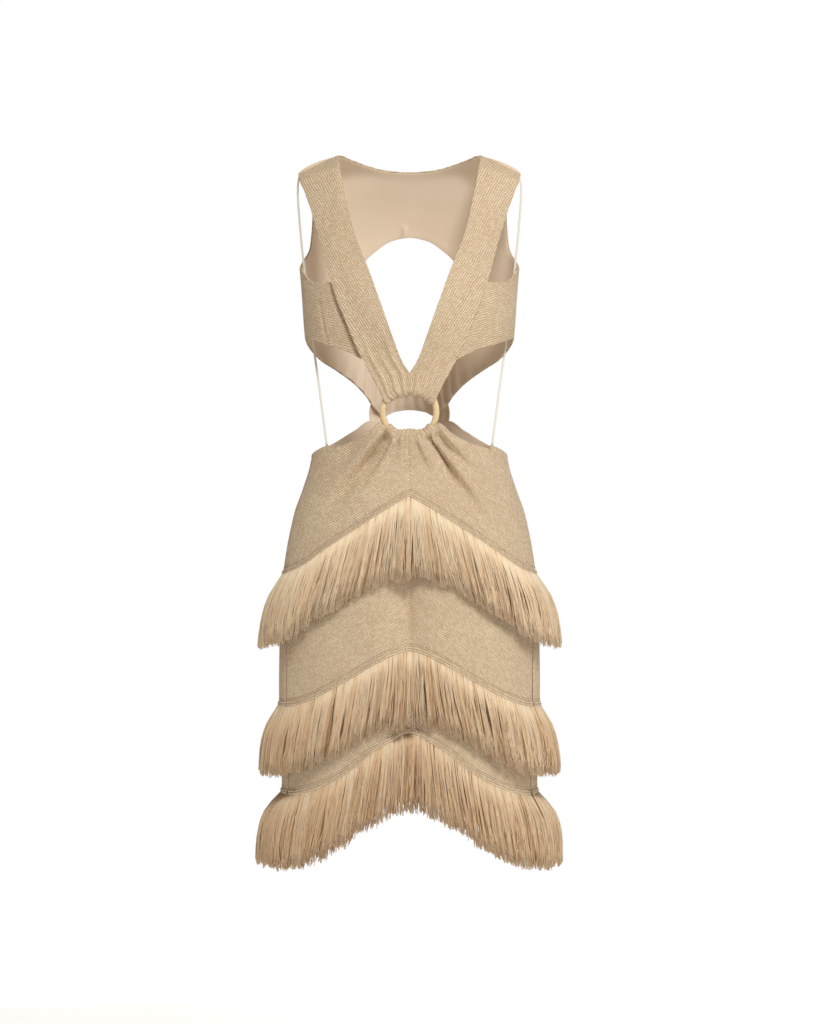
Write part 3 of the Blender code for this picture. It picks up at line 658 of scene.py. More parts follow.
def strap_grid(side):
    u = np.linspace(0, 1, 49)[None, :]
    s = np.concatenate([np.linspace(0, 6, 61), np.linspace(6.08, 8, 25)])[:, None]
    x = lerp(np.maximum(strap_x_in(s) - meet_at(s), 0.06), strap_x_out(s), u)
    z = lerp(strap_z_in(s), strap_z_out(s), u)
    angle = angle_of(x, z)
    p, n = form_at(angle, z)
    p[0, :, 1] = 0
    stand_off = ease((s - 3.2) / 1.6) * (1 - ease((s - 6.4) / 1.2)) * ease((u - 0.72) / 0.28)
    p = p + n * (LAP * ease(s / 3) + STAND_OFF[side] * stand_off)[..., None]
    p[..., 1] = lerp(p[..., 1], RING_Y - SEAT, ease((s - 6.5) / 2.2) * (1 - u * 0.4))
    p[0, :, 1] = -0.15
    soft = 0.5 * np.sin(u * 5 + s * 1.3 + side) * ease(s) * (1 - ease((s - 5) / 3))
    face = p + n * (CLOTH + soft + strap_folds(u, s, side))[..., None]
    arc = lerp(*STRAP_ARC, u)
    start, _ = round_tube(arc, 0.0, True)
    blocks, last = [face], p[-1:]
    for k in (0.33, 0.66):
        q = lerp(last, start, k)
        q[..., 1] = np.minimum(q[..., 1], RING_Y - SEAT)
        q[..., 1] -= CLOTH + strap_folds(u, 8.0, side)
        blocks.append(q)
    bunch = lerp(BUNCH, 3.0, ease((u - 0.25) / 0.75)) - CLOTH
    for turn in range(0, 181, 10):
        q, way = round_tube(arc, float(turn), True)
        thick = CLOTH + bunch * sin(radians(turn)) ** 2
        thick = thick + strap_folds(u, 8.0, side) * (0.35 + 0.65 * cos(radians(turn / 2)))
        blocks.append(q + way * thick[..., None])
    for k in (0.3, 0.65, 1.0):
        q = lerp(round_tube(arc, 180.0, True)[0], last, k)
        q[..., 1] = RING_Y + SEAT + CLOTH
        blocks.append(q)
    grid = np.concatenate(blocks)
    grid[..., 0] *= side
    return grid


def run_along(grid, axis):
    """Millimetres along the grid's rows (axis 0) or columns (axis 1)."""
    steps = np.linalg.norm(np.diff(grid, axis=axis), axis=-1)
    start = np.zeros_like(np.take(steps, [0], axis))
    return np.concatenate([start, np.cumsum(steps, axis)], axis)


for side, tag in SIDES:
    grid = strap_grid(side)
    long_way = run_along(grid, 0)
    cross_way = run_along(grid, 1)
    cross_way = lerp(cross_way, np.linspace(0, 60, grid.shape[1])[None, :], 0.7)
    flat_mm = np.stack([long_way, cross_way + 0.22 * long_way], -1)
    cloth(f"strap_{tag}", grid, flat_mm, CLOTH, woven, f"front_strap_{tag}", (0.075, 0.47, 0.031))

# %% [markdown]
# ## The bust panels
#
# A short panel closes each side of the bust and runs in under the strap. A dart, a small pleat sewn
# down, gives it its round: it shows as a thin sunk line that ends softly above the hem.

# %% Bust panels
ARMHOLE_FRONT = ((90, -188), (110, -188), (138, -187.5), (147, -181), (153, -172), (159, -164))
BUST_HEM = ((45, -312), (66, -303), (75, -297), (97, -286), (118, -279), (140, -271.5), (151, -268))
DARTS = {-1: (-131, -207, -120, -267), 1: (123, -232, 122, -270)}  # from x, z, to x, z
DART_DEEP, STITCHED = 1.9, 0.6  # depth of the dart and of the stitched line beside each edge
DIP = {-1: 4.2, 1: 1.2}  # how far the panel sinks beside its strap, left and right
strap_edge_at = sampled([(r[3], r[2]) for r in STRAP])
armhole_at, bust_hem_at = sampled(ARMHOLE_FRONT), sampled(BUST_HEM)


def from_line(x, z, line):
    """Share along a line from x0, z0 to x1, z1, and signed distance from it."""
    x0, z0, x1, z1 = line
    way = np.array([x1 - x0, z1 - z0], float)
    long = np.hypot(*way)
    t = ((x - x0) * way[0] + (z - z0) * way[1]) / long**2
    off = ((x - x0) * way[1] - (z - z0) * way[0]) / long
    return t, off


for side, tag in SIDES:
    u, v = np.meshgrid(np.linspace(0, 1, 57), np.linspace(0, 1, 41))
    z = lerp(-188.0, -300.0, v)
    for _ in range(6):
        angle = lerp(angle_of(strap_edge_at(z) - 13, z), 90.0, u)
        x = np.abs(round_at(angle, z)[..., 0])
        z = lerp(armhole_at(x), bust_hem_at(x), v)
    grid, n = form_at(angle, z)
    grid[..., 1] = np.minimum(grid[..., 1], -0.15)
    t, off = from_line(grid[..., 0] * side, z, DARTS[side])
    dart = bell(off, 1.6) * ease(t / 0.3) * (t < 1.2)
    full = 1.3 * bell(off, 16) * ease(t / 0.5)
    hem = STITCHED * (bell(v - 0.93, 0.025) + bell(v - 0.08, 0.03))
    beyond = np.abs(grid[..., 0]) - strap_edge_at(z)
    dip = DIP[side] * bell(beyond - 1.5, 4.5) * ease(v * 2.2)
    grid = grid + n * (CLOTH + full - DART_DEEP * dart - hem * ease(u * 4) - dip)[..., None]
    grid[..., 0] *= side
    cloth(f"bust_panel_{tag}", grid, flat_round(grid, -0.30), CLOTH, woven, f"front_side_{tag}",
          (0.16, 0.125, 0.0135))

# %% [markdown]
# ## The open back and its lining
#
# The back bodice is one piece cut round an egg-shaped opening. Half of it is laid out as rows that
# run from the middle of the yoke, over the shoulder, past the armhole and the side seam, to the
# small arch behind the ring; the other half is its mirror image. The lining is the same cut, just
# inside, and it is what shows from the front. It is softer, so it ripples near its lower end.

# %% Back sizes
BACK = (  # inner edge x, z, outer edge x, z
    (0, -115, 0, -21.5), (26, -120, 38, -18.5), (47, -133, 84, -6), (59, -143, 105, 0),
    (70, -155, 163, -27), (80, -169, 142.5, -82), (90, -188, 146, -131), (95, -206, 159.5, -164),
    (96, -224, 157, -197), (94, -243, 154, -232), (88, -263, 151.5, -268), (78, -284, 133, -296),
    (64, -304, 107, -313.5), (50, -318, 82, -332), (36, -329, 64.6, -350.5), (23, -336.5, 55, -364.5),
    (13, -340, 38, -380), (6, -341.5, 22, -373.6), (0, -342, 0, -370.6),
)
BACK_SIDE_SEAM = (7, 10)
PINCH, PINCH_DEEP = (9.5, -112, 8, -96), 5.0  # the small pleat over the opening: from x, z, to x, z
WAVE, SIDE_FOLD = 2.3, 0.9  # height of the lining's ripples low down and at the sides
BACK_ROWS, BACK_COLUMNS = 127, 33
MIRROR = np.array([-1, 1, 1])


def level_ends(column):
    """A value of BACK along its rows, level at the ends, past which they run on as a mirror image."""
    sign = -1 if column in (0, 2) else 1
    rows = [(-1, sign * BACK[1][column])] + [(i, r[column]) for i, r in enumerate(BACK)]
    return sampled(rows + [(len(BACK), sign * BACK[-2][column])], step=0.05)


back_curves = [level_ends(c) for c in range(4)]

# %% Back and lining


def back_half():
    """Points of the right half on the form, the way out of it, and where each point is."""
    last = len(BACK) - 1
    s = np.unique(np.concatenate([np.linspace(0, last, BACK_ROWS), np.arange(last + 1)]))[:, None]
    u = np.linspace(0, 1, BACK_COLUMNS)[None, :]
    xi, zi, xo, zo = (curve(s) for curve in back_curves)
    on_seam = (s >= BACK_SIDE_SEAM[0]) & (s <= BACK_SIDE_SEAM[1])
    ai, ao = angle_of(xi, zi), np.where(on_seam, 90.0, angle_of(xo, zo))
    z = lerp(zi, zo, u)
    angle = 180 - lerp(angle_of(lerp(xi, xo, u), z), lerp(ai, ao, u), ease((s - 5) / 2))
    p, n = form_at(angle, z)
    p[..., 1] = np.maximum(p[..., 1], 0.15)
    p[[0, -1], :, 0] = 0
    n[[0, -1], :, 0] = 0
    return p, unit(n), s, u


def both_halves(right, left):
    return np.concatenate([right, left[::-1] * MIRROR])


p, n, s, u = back_half()
edges = 0.5 * (bell(u - 0.07, 0.03) + bell(u - 0.93, 0.03))
half = p + n * (CLOTH - edges)[..., None]
grid = both_halves(half, half)
cloth("back_bodice", grid, flat_round(grid), CLOTH, woven, "bodice_back", (0.43, 0.40, 0.083),
      close_middle=True)

low = ease((-p[..., 2] - 285) / 50) * (1 - 0.75 * ease((-p[..., 2] - 362) / 14))
wave = WAVE * low * (1 + np.sin(p[..., 0] * 0.42 + 1.1 * np.sin(p[..., 0] * 0.11) + p[..., 2] * 0.05))
yoke = 0.5 * ease((p[..., 2] + 150) / 60) * (1 + np.sin(p[..., 0] * 0.09 + p[..., 2] * 0.03))
side_folds = SIDE_FOLD * ease((p[..., 0] - 95) / 25) * (1 + np.sin(p[..., 0] * 0.22 + p[..., 2] * 0.02))
edges = 0.5 * (bell(u - 0.05, 0.02) + bell(u - 0.95, 0.02))
right = p - n * (0.5 + 0.25 + 0.3 * (yoke + side_folds) + wave + edges)[..., None]
t, off = from_line(p[..., 0], p[..., 2], PINCH)
pinch = PINCH_DEEP * bell(off, 2.0) * ease((t + 0.6) / 0.8) * (1 - ease((t - 0.4) / 0.7))
grid = both_halves(right, right - n * pinch[..., None])
cloth("back_bodice_lining", grid, flat_round(grid), LINING, lining, "bodice_back_lining",
      (0.42, 0.39, 0.081), close_middle=True, edge=LINING_EDGE)

# %% [markdown]
# Two short tabs join the back to the skirt and leave a keyhole between them. Each is a small soft
# lobe, a little fuller towards the outside.

# %% Tabs
TAB_FOOT, TAB_IN, TAB_OUT = -389.5, 38.0, 57.0
hem_rows = sorted((float(row[0]), float(row[2])) for row in p[:, -1] if row[2] < -340)
under_hem = sampled(hem_rows, step=0.25)
for side, tag in SIDES:
    u, v = np.meshgrid(np.linspace(0, 1, 19), np.linspace(0, 1, 19))
    x = lerp(TAB_IN, TAB_OUT, u)
    tall = under_hem(x) + 2.2 - TAB_FOOT
    z = TAB_FOOT + tall * (1 - v)
    x = x + (2.2 * np.sin(pi * v) + 1.5 * v) * u
    grid = round_at(180 - angle_of(x, z), z)
    grid[..., 1] += 0.1 * tall * np.sin(pi * v) + 0.5 * np.sin(u * 11) * np.sin(pi * v) + 2 * CLOTH + 0.5
    grid[..., 0] *= side
    flat_mm = np.stack([grid[..., 0], grid[..., 2]], -1)
    cloth(f"tab_{tag}", grid, flat_mm, CLOTH, lining, f"back_tab_{tag}", (0.022, 0.024, 0.0004),
          edge=0.6)

# %% [markdown]
# ## The skirt
#
# The front of the skirt is cut in two halves that meet in a seam down the middle. Its middle half is
# gathered over the bottom of the ring, so folds fan out from there, deepest beside the ring and gone
# by the hip. Three seams run across it in an upside-down V. The rows of the grid are laid along
# those seams, so that the bands and threads made later meet them exactly.

# %% Skirt sizes
SKIRT_TOP_FRONT = (
    (33, -397.6), (43, -393), (58, -406), (80, -420), (100, -427), (114, -430), (120, -424),
)
SKIRT_TOP_BACK = (  # degrees round from the front, height
    (56, -424), (75, -433), (90, -438), (105, -433), (125, -423), (146, -401), (156.5, -387),
    (165.5, -387), (169, -391), (173, -398), (180, -403),
)
SIDE_SEAM = ((-424, 57), (-440, 59), (-490, 64), (-548, 67.5), (-613, 69.5), (-720, 70.5), (-1060, 70.5))
SEAMS = (
    ((0, -497), (3, -498.2), (71, -540), (120, -573), (158, -600), (188, -614)),
    ((0, -720.5), (12, -722.5), (41, -735), (87, -762), (122, -782), (151, -796), (175, -803), (191, -804)),
    ((0, -839.5), (9, -841.3), (22, -849), (52, -867), (87, -896), (117, -914), (151, -928), (173, -932),
     (189, -930)),
)
HEM_DROP = 14.0  # from the lowest seam to the hem
SKIRT_ARC, RING_SHARE = 58.0, 0.52  # degrees of the ring covered each way, share of the front on it
SKIRT_SLANT = 0.55  # rise of the ribs for each step away from the middle seam
VALLEY = ((-480, 0), (-560, 4), (-600, 9), (-640, 12), (-720, 11), (-760, 12), (-860, 15), (-1060, 16))
CREASE = ((-540, 0), (-590, 6), (-640, 7), (-690, 5), (-716, 1), (-730, 0), (-1060, 0))
VALLEY_HALF, CREASE_HALF, CREASE_AT = 27.0, 8.5, -3.0
GATHERS = 17  # ridges over the ring
HEM_LINE, HEM_LINE_DEEP = 7.0, 0.7  # the sunk line of stitches under the top edge
FOLDS = (  # from x, z, to x, z, half width, depth, side and height of the ridge beside it, overlap
    (-30, -399, -122, -520, 5.0, 16.0, -1, 6.5, 5.0),
    (-12, -403, -36, -462, 3.6, 8.0, -1, 3.6, 3.0),
    (-44, -402, -104, -452, 5.0, 4.0, 1, 2.4, 1.5),
    (-21, -402, -78, -500, 3.8, 6.0, 1, 3.0, 2.0),
    (17, -401, 116, -532, 5.0, 17.0, 1, 7.0, 5.5),
    (36, -402, 104, -470, 5.0, 10.0, 1, 5.0, 4.5),
    (6, -403, 30, -468, 3.6, 6.0, 1, 3.0, 2.5),
    (25, -402, 84, -492, 3.8, 6.5, -1, 3.0, 2.0),
)
skirt_top_front, skirt_top_back = sampled(SKIRT_TOP_FRONT, step=0.25), sampled(SKIRT_TOP_BACK, step=0.25)
side_seam, valley_at, crease_at = sampled(SIDE_SEAM), sampled(VALLEY), sampled(CREASE)
seam_at = [sampled(seam) for seam in SEAMS]

# %% Where the seams run


def front_angle(t, z):
    """Degrees round for t from -1 at the left side seam to 1 at the right one."""
    return angle_at_share(np.abs(t) * share_of(side_seam(z))) * np.where(t < 0, -1, 1)


def back_angle(t, z):
    """Degrees round for t from 0 at the side seam to 1 in the middle of the back."""
    return angle_at_share(lerp(share_of(side_seam(z)), 1.0, t))


def seam_height(k, angle_for, t):
    z = np.full_like(np.asarray(t, float), -600.0)
    for _ in range(7):
        z = seam_at[k](np.abs(round_at(angle_for(t, z), z)[..., 0]))
    return z


LINE_ROWS = np.concatenate([
    np.linspace(0, 0.3, 25), np.linspace(0.32, 0.96, 30), np.linspace(0.97, 1.04, 6),
    np.linspace(1.08, 1.94, 34), np.linspace(1.96, 2.05, 5), np.linspace(2.1, 2.95, 18), [3.0, 3.5, 4.0],
])


def heights(lines, angle_for, t, top):
    """Height of each grid point: lines counts 0 at the top edge, 1 to 3 at the seams, 4 at the hem."""
    marks = [top] + [seam_height(k, angle_for, t) for k in range(3)]
    marks.append(marks[3] - HEM_DROP)
    z = 0 * lines * t
    for k in range(4):
        z = np.where(lines >= k, lerp(marks[k], marks[k + 1], np.clip(lines - k, 0, 1)), z)
    return z


# %% Front of the skirt


def fold_relief(x, z):
    """How far out of the plain front the folds lie (troughs are negative), and how far each ridge
    leans sideways and down over its trough."""
    total = -valley_at(z) * bell(x, VALLEY_HALF) - crease_at(z) * bell(x - CREASE_AT, CREASE_HALF)
    lean = np.zeros(np.broadcast(x, z).shape + (2,))
    for i, (x0, z0, x1, z1, half, deep, ridge_side, ridge, overlap) in enumerate(FOLDS):
        t, off = from_line(x, z, (x0, z0, x1, z1))
        off = off * -ridge_side + 2.2 * np.sin(t * 4 + i)
        near = np.clip(t, 0, 1)
        wide = half * (1 + 0.8 * near)
        fade = ease((t + 0.02) / 0.14) * (1 - near**1.8)
        steep = np.where(off > 0, 0.55, 1.5) * wide
        total = total - deep * fade * bell(off, steep)
        total = total + ridge * fade * bell(off - 1.8 * wide, 1.1 * wide)
        push = overlap * fade * bell(off - 1.5 * wide, wide)
        across = np.array([z1 - z0, x0 - x1]) / np.hypot(x1 - x0, z1 - z0)
        lean = lean + ridge_side * push[..., None] * across
    soft = 0.9 * np.sin(x * 0.06 + 1.0) * np.sin(z * 0.035 + x * 0.02)
    seam = -1.3 * bell(x + 0.5, 1.2) * ease((z + 500) / 20)
    return total + soft * ease((-z - 420) / 60) + seam, lean


def ring_gathers(arc_share, down):
    """Ridges of the cloth that bunches over the ring, against place along its arc (-1 to 1)."""
    total = 0 * arc_share * down
    for i, middle in enumerate(np.linspace(-0.94, 0.94, GATHERS)):
        at = middle + 0.035 * ripple(i, 5)
        reach = 22 + 26 * abs(ripple(i, 11))
        tall = 1.2 + 1.1 * abs(ripple(i, 2))
        total = total + tall * bell(arc_share - at, 0.036) * (1 - ease(down / reach))
    return total * (np.abs(arc_share) < 1)


def front_top(t):
    """Where the top edge of the front is, on the ring's arc or beside it."""
    arc_share = np.clip(np.abs(t) / RING_SHARE, 0, 1)
    start, _ = round_tube(SKIRT_ARC * arc_share, 0.0, False)
    share = np.clip((np.abs(t) - RING_SHARE) / (1 - RING_SHARE), 0, 1)
    in_ring = np.abs(t) <= RING_SHARE + 1e-6
    x_top = np.where(in_ring, start[..., 0], lerp(33.0, 120.0, share**0.85))
    return x_top, np.where(in_ring, start[..., 2], skirt_top_front(x_top)), in_ring, share


def front_face(t, z):
    """Outer face of the skirt's front and the way out of it, for any t and height."""
    x_top, z_top, in_ring, share = front_top(t)
    down = z_top - z
    spread = 1 - (1 - np.clip(down / 120, 0, 1)) ** 2
    spread = np.where(in_ring, spread, lerp(spread, 1, share**2))
    x = lerp(x_top, np.abs(round_at(front_angle(t, z), z)[..., 0]), spread)
    angle = angle_of(x, z) * np.where(t < 0, -1, 1)
    p, n = form_at(angle, z)
    near_ring = np.clip(1 - (x_top - 50) / 30, 0, 1)
    p[..., 1] = lerp(p[..., 1], np.minimum(p[..., 1], RING_Y - SEAT), (1 - ease(down / 55)) * near_ring)
    relief, lean = fold_relief(p[..., 0], z)
    start = ease(down / 14)
    gather = ring_gathers(t / RING_SHARE, down)
    hem_top = -HEM_LINE_DEEP * bell(down - HEM_LINE, 1.6) * ~in_ring
    side_dip = -2.2 * bell(1 - np.abs(t), 0.007) * ease((-z - 620) / 20)
    face = p + n * (CLOTH + relief * start + gather + hem_top + side_dip)[..., None]
    face[..., 0] += lean[..., 0] * start
    face[..., 2] += lean[..., 1] * start
    return face, n


def skirt_front_grid():
    t = np.concatenate([np.linspace(-1, -0.53, 36), np.linspace(-RING_SHARE, RING_SHARE, 105),
                        np.linspace(0.53, 1, 36)])[None, :]
    arc_share = np.clip(np.abs(t) / RING_SHARE, 0, 1)
    face, _ = front_face(t, heights(LINE_ROWS[:, None], front_angle, t, front_top(t)[1]))
    signed = SKIRT_ARC * t / RING_SHARE
    bunch = lerp(BUNCH, 2.4, ease(arc_share * 1.25)) - CLOTH
    lip = []
    for turn in range(180, 9, -10):
        q, way = round_tube(np.clip(signed, -SKIRT_ARC, SKIRT_ARC), float(turn), False)
        thick = CLOTH + bunch * sin(radians(turn)) ** 2
        thick = thick + ring_gathers(t / RING_SHARE, 0.0) * cos(radians(turn / 2)) ** 2
        lip.append(q + way * thick[..., None])
    tail = [lip[0] - np.array([0, 0, drop]) for drop in (24.0, 12.0)]
    grid = np.concatenate(tail + lip + [face])
    keep = np.ones((grid.shape[0] - 1, grid.shape[1] - 1), bool)
    keep[: len(tail + lip)] = (np.abs(t[0, 1:] + t[0, :-1]) / 2 < RING_SHARE)[None, :]
    return grid, keep


grid, keep = skirt_front_grid()
for end, sign in ((0, 1), (-1, -1)):
    grid[:, end, 0] += 0.12 * sign
skirt_front = cloth("skirt_front_cloth", grid, flat_round(grid, SKIRT_SLANT), CLOTH, woven, "skirt_front",
                    (0.46, 0.56, 0.208), keep=keep)

# %% Back of the skirt


def skirt_back_points(lines):
    t = np.linspace(0, 1, 69)[None, :]
    z = np.full((1, t.shape[1]), -450.0)
    for _ in range(5):
        top = skirt_top_back(back_angle(t, np.maximum(z[:1], -440)))
        z = heights(lines, back_angle, t, top)
    angle = back_angle(t, z)
    p, n = form_at(angle, z)
    p[:, -1, 0] = 0
    n[:, -1, 0] = 0
    p[:, 0, 1] += 0.12
    return p, unit(n), top - z


def both_sides(half):
    flip = half[:, ::-1] * MIRROR
    return np.concatenate([half, flip[:, 1:]], axis=1)


def back_relief(x, z):
    """Soft falls of the cloth and the sunk seam down the middle of the back."""
    x = np.abs(x)
    soft = 1.0 * np.sin(x * 0.05 + 0.6) * np.sin(z * 0.03 + x * 0.015) * ease((-z - 430) / 60)
    fall = bell(x - 52 + 0.12 * (z + 400), 9) * ease((-z - 395) / 20)
    return soft - 1.6 * fall * (1 - ease((-z - 470) / 90)) - 1.2 * bell(x, 1.3)


p, n, down = skirt_back_points(LINE_ROWS[:, None])
hem_top = HEM_LINE_DEEP * bell(down - HEM_LINE, 1.6)
grid = both_sides(p + n * (CLOTH + back_relief(p[..., 0], p[..., 2]) - hem_top)[..., None])
flat_mm = flat_round(grid, -SKIRT_SLANT) + np.array([0, SKIRT_SLANT * HALF_GIRTH])
skirt_back = cloth("skirt_back_cloth", grid, flat_mm, CLOTH, woven, "skirt_back", (0.68, 0.55, 0.30))

# %% Lining of the skirt's back
top_rows = LINE_ROWS[LINE_ROWS <= 1.0][:, None]
p, n, down = skirt_back_points(np.vstack([top_rows, [[1.01]]]))
x, z = p[..., 0], p[..., 2]
folds_in = 0.9 * (1 + np.sin(x * 0.16 + 1.4 * np.sin(x * 0.05) + z * 0.02)) * ease(down / 12)
grid = both_sides(p - n * (0.55 + folds_in)[..., None])
cloth("skirt_back_lining_cloth", grid, flat_round(grid), LINING, lining, "skirt_back_lining",
      (0.66, 0.22, 0.12), edge=LINING_EDGE)

# %% [markdown]
# ## Bands and stitches along the seams
#
# The threads of each row are sewn in under a narrow band of the same cloth, and a line of stitches
# runs a little above it. The band's points are the skirt's own, moved out, so it follows every fold.
# One stitch is modelled as a small rounded bar and copied along the line as a single joined mesh.

# %% Points along a seam


def seam_face(k, w, above, front):
    """Points of the skirt's outer face above or below seam k, with the way out. w runs from -1 to 1,
    from side seam to side seam."""
    if front:
        return front_face(w, seam_height(k, front_angle, w) + above)
    t = 1 - np.abs(w)
    z = seam_height(k, back_angle, t) + above
    angle = back_angle(t, z) * np.where(w < 0, -1, 1)
    p, n = form_at(angle, z)
    return p + n * (CLOTH + back_relief(p[..., 0], z))[..., None], n


# %% Bands
BAND = (  # above the seam, out of the cloth
    (4.6, 1.15), (3.9, 1.5), (2.6, 1.75), (1.0, 1.9), (-0.8, 2.1), (-2.6, 2.3), (-3.4, 2.2),
)
BAND_WALL, BAND_EDGE = 0.85, 0.25
BAND_COLUMNS = {True: 161, False: 151}  # front, back
TIERS = ("top", "mid", "low")
ROWS = [(k, front) for k in range(3) for front in (True, False)]
sewn_on = {True: [], False: []}


def row_name(k, front):
    return f"{TIERS[k]}_{'front' if front else 'back'}"


def seam_band(k, front):
    w = np.linspace(-0.997, 0.997, BAND_COLUMNS[front])[None, :]
    above = np.array([b[0] for b in BAND])[:, None]
    p, n = seam_face(k, w, above, front)
    grid = p + n * np.array([b[1] for b in BAND])[:, None, None]
    flat_mm = np.stack([run_along(grid, 1), above + 0 * w], -1)
    obj = open_mesh(f"seam_band_{row_name(k, front)}", grid, flat_mm)
    give_wall(obj, BAND_WALL, woven, BAND_EDGE)
    belongs(obj)
    sewn_on[front].append(obj)
    print(obj.name)


for k, front in ROWS:
    seam_band(k, front)

# %% One stitch
STITCH_LONG, STITCH_WIDE = 1.45, 0.42  # half its length and width
PITCH, LOOK_AHEAD = 4.4, 0.8  # from one stitch to the next, and how far ahead each one looks
STITCH_LINES = ((1.0, 2.05), (8.2, 0.2))  # above the seam, out of the cloth

bpy.ops.object.select_all(action="DESELECT")
bpy.ops.mesh.primitive_uv_sphere_add(segments=6, ring_count=4, radius=1.0)
stitch = bpy.context.object
bpy.ops.object.mode_set(mode="EDIT")
bpy.ops.mesh.select_all(action="SELECT")
bpy.ops.transform.resize(value=(STITCH_LONG, STITCH_WIDE, STITCH_WIDE))
bpy.ops.object.mode_set(mode="OBJECT")
stitch_points = np.array([v.co[:] for v in stitch.data.vertices])
stitch_faces = [list(f.vertices) for f in stitch.data.polygons]
bpy.data.objects.remove(stitch, do_unlink=True)
print("stitch", len(stitch_faces), "faces")

# %% Stitches along a line


def stitches(name, at, along_way, out_way, front):
    """Copies of the stitch at points, turned along the line and facing out, as one mesh."""
    across = unit(np.cross(out_way, along_way))
    x, y, z = (stitch_points[None, :, c, None] for c in range(3))
    turned = x * along_way[:, None] + y * across[:, None] + z * out_way[:, None] + at[:, None]
    size = len(stitch_points)
    faces = [[v + i * size for v in face] for i in range(len(at)) for face in stitch_faces]
    obj = new_object(name, turned, faces)
    paint(obj, sewing)
    belongs(obj)
    sewn_on[front].append(obj)
    print(name, len(at), "stitches")


def along(run, stops, rows):
    """Points or directions read off at stops, in millimetres along a line."""
    return np.stack([np.interp(stops, run, rows[:, c]) for c in range(3)], -1)


for k, front in ROWS:
    for line, (above, out_by) in enumerate(STITCH_LINES):
        p, n = seam_face(k, np.linspace(-0.99, 0.99, 1500), above, front)
        p = p + n * out_by
        run = run_along(p[:, None], 0)[:, 0]
        stops = np.arange(2.0, run[-1], PITCH)
        at = along(run, stops, p)
        way = unit(along(run, stops + LOOK_AHEAD, p) - at)
        stitches(f"stitches_{row_name(k, front)}_{line}", at, way, unit(along(run, stops, n)), front)

# %% [markdown]
# ## The fringe
#
# Every thread is a thin three-sided tube that hangs from its seam. Threads cling together in small
# uneven locks, so each one is drawn part of the way towards the middle of its lock, and every lock
# sways a little its own way. In the middle of the two upper rows one lock hangs straight over its
# neighbours. At the sides the threads stand off the skirt. All paths are worked out at once as
# arrays and joined in one mesh for each row, front and back.

# %% Fringe sizes
THREADS = (113.0, 106.0, 113.0)
FLARE_FRONT, FLARE_SIDE, SIDE_SHORTER = 6.0, (26.0, 27.0, 33.0), 0.32
SWEEP, PARTING = 17.0, 20.0  # how far the threads lean away from the middle, and how soon
FLARE_BOW = (1.75, 1.75, 2.7)  # how early the threads stand off
BUNCH_FROM, BUNCH_TO = -20.0, 7.0  # the lock that hangs straight over its neighbours in the middle
BUNCH_OUT, BUNCH_LONGER, BUNCH_LEAN = 4.0, 5.0, -2.5
THREAD_RINGS = 7
COUNT = {True: 1900, False: 2550}
THREAD_R = 0.73
LOCK_WIDTHS = (2.6, 6.8)  # narrowest and widest lock
PULL, PULL_MORE = 0.44, 0.40  # how far a lock draws its threads together, and how much that varies
ROOT_ABOVE = -1.6  # where the threads start, above the seam
TONE = (0.84, 0.74, 0.74)  # how light the threads of each row are
# The last of these darkens the inner layer of threads: painted shade where the outer threads cover them.
LOCK_TONE, OWN_TONE, UNDER_PAINTED_SHADE = 0.22, 0.26, 0.62  # changes by lock, by thread, and under the others

# %% Thread paths


def locks_along(count, length, rng):
    """Which lock each thread belongs to, as the lock's middle, and a number for the lock."""
    w = np.sort(rng.uniform(-1, 1, count))
    edges = [-1.0]
    while edges[-1] < 1:
        edges.append(edges[-1] + 2 * rng.uniform(*LOCK_WIDTHS) / length)
    edges = np.array(edges)
    which = np.searchsorted(edges, w, side="right") - 1
    middle = (edges[which] + edges[np.minimum(which + 1, len(edges) - 1)]) / 2
    return w, which, middle


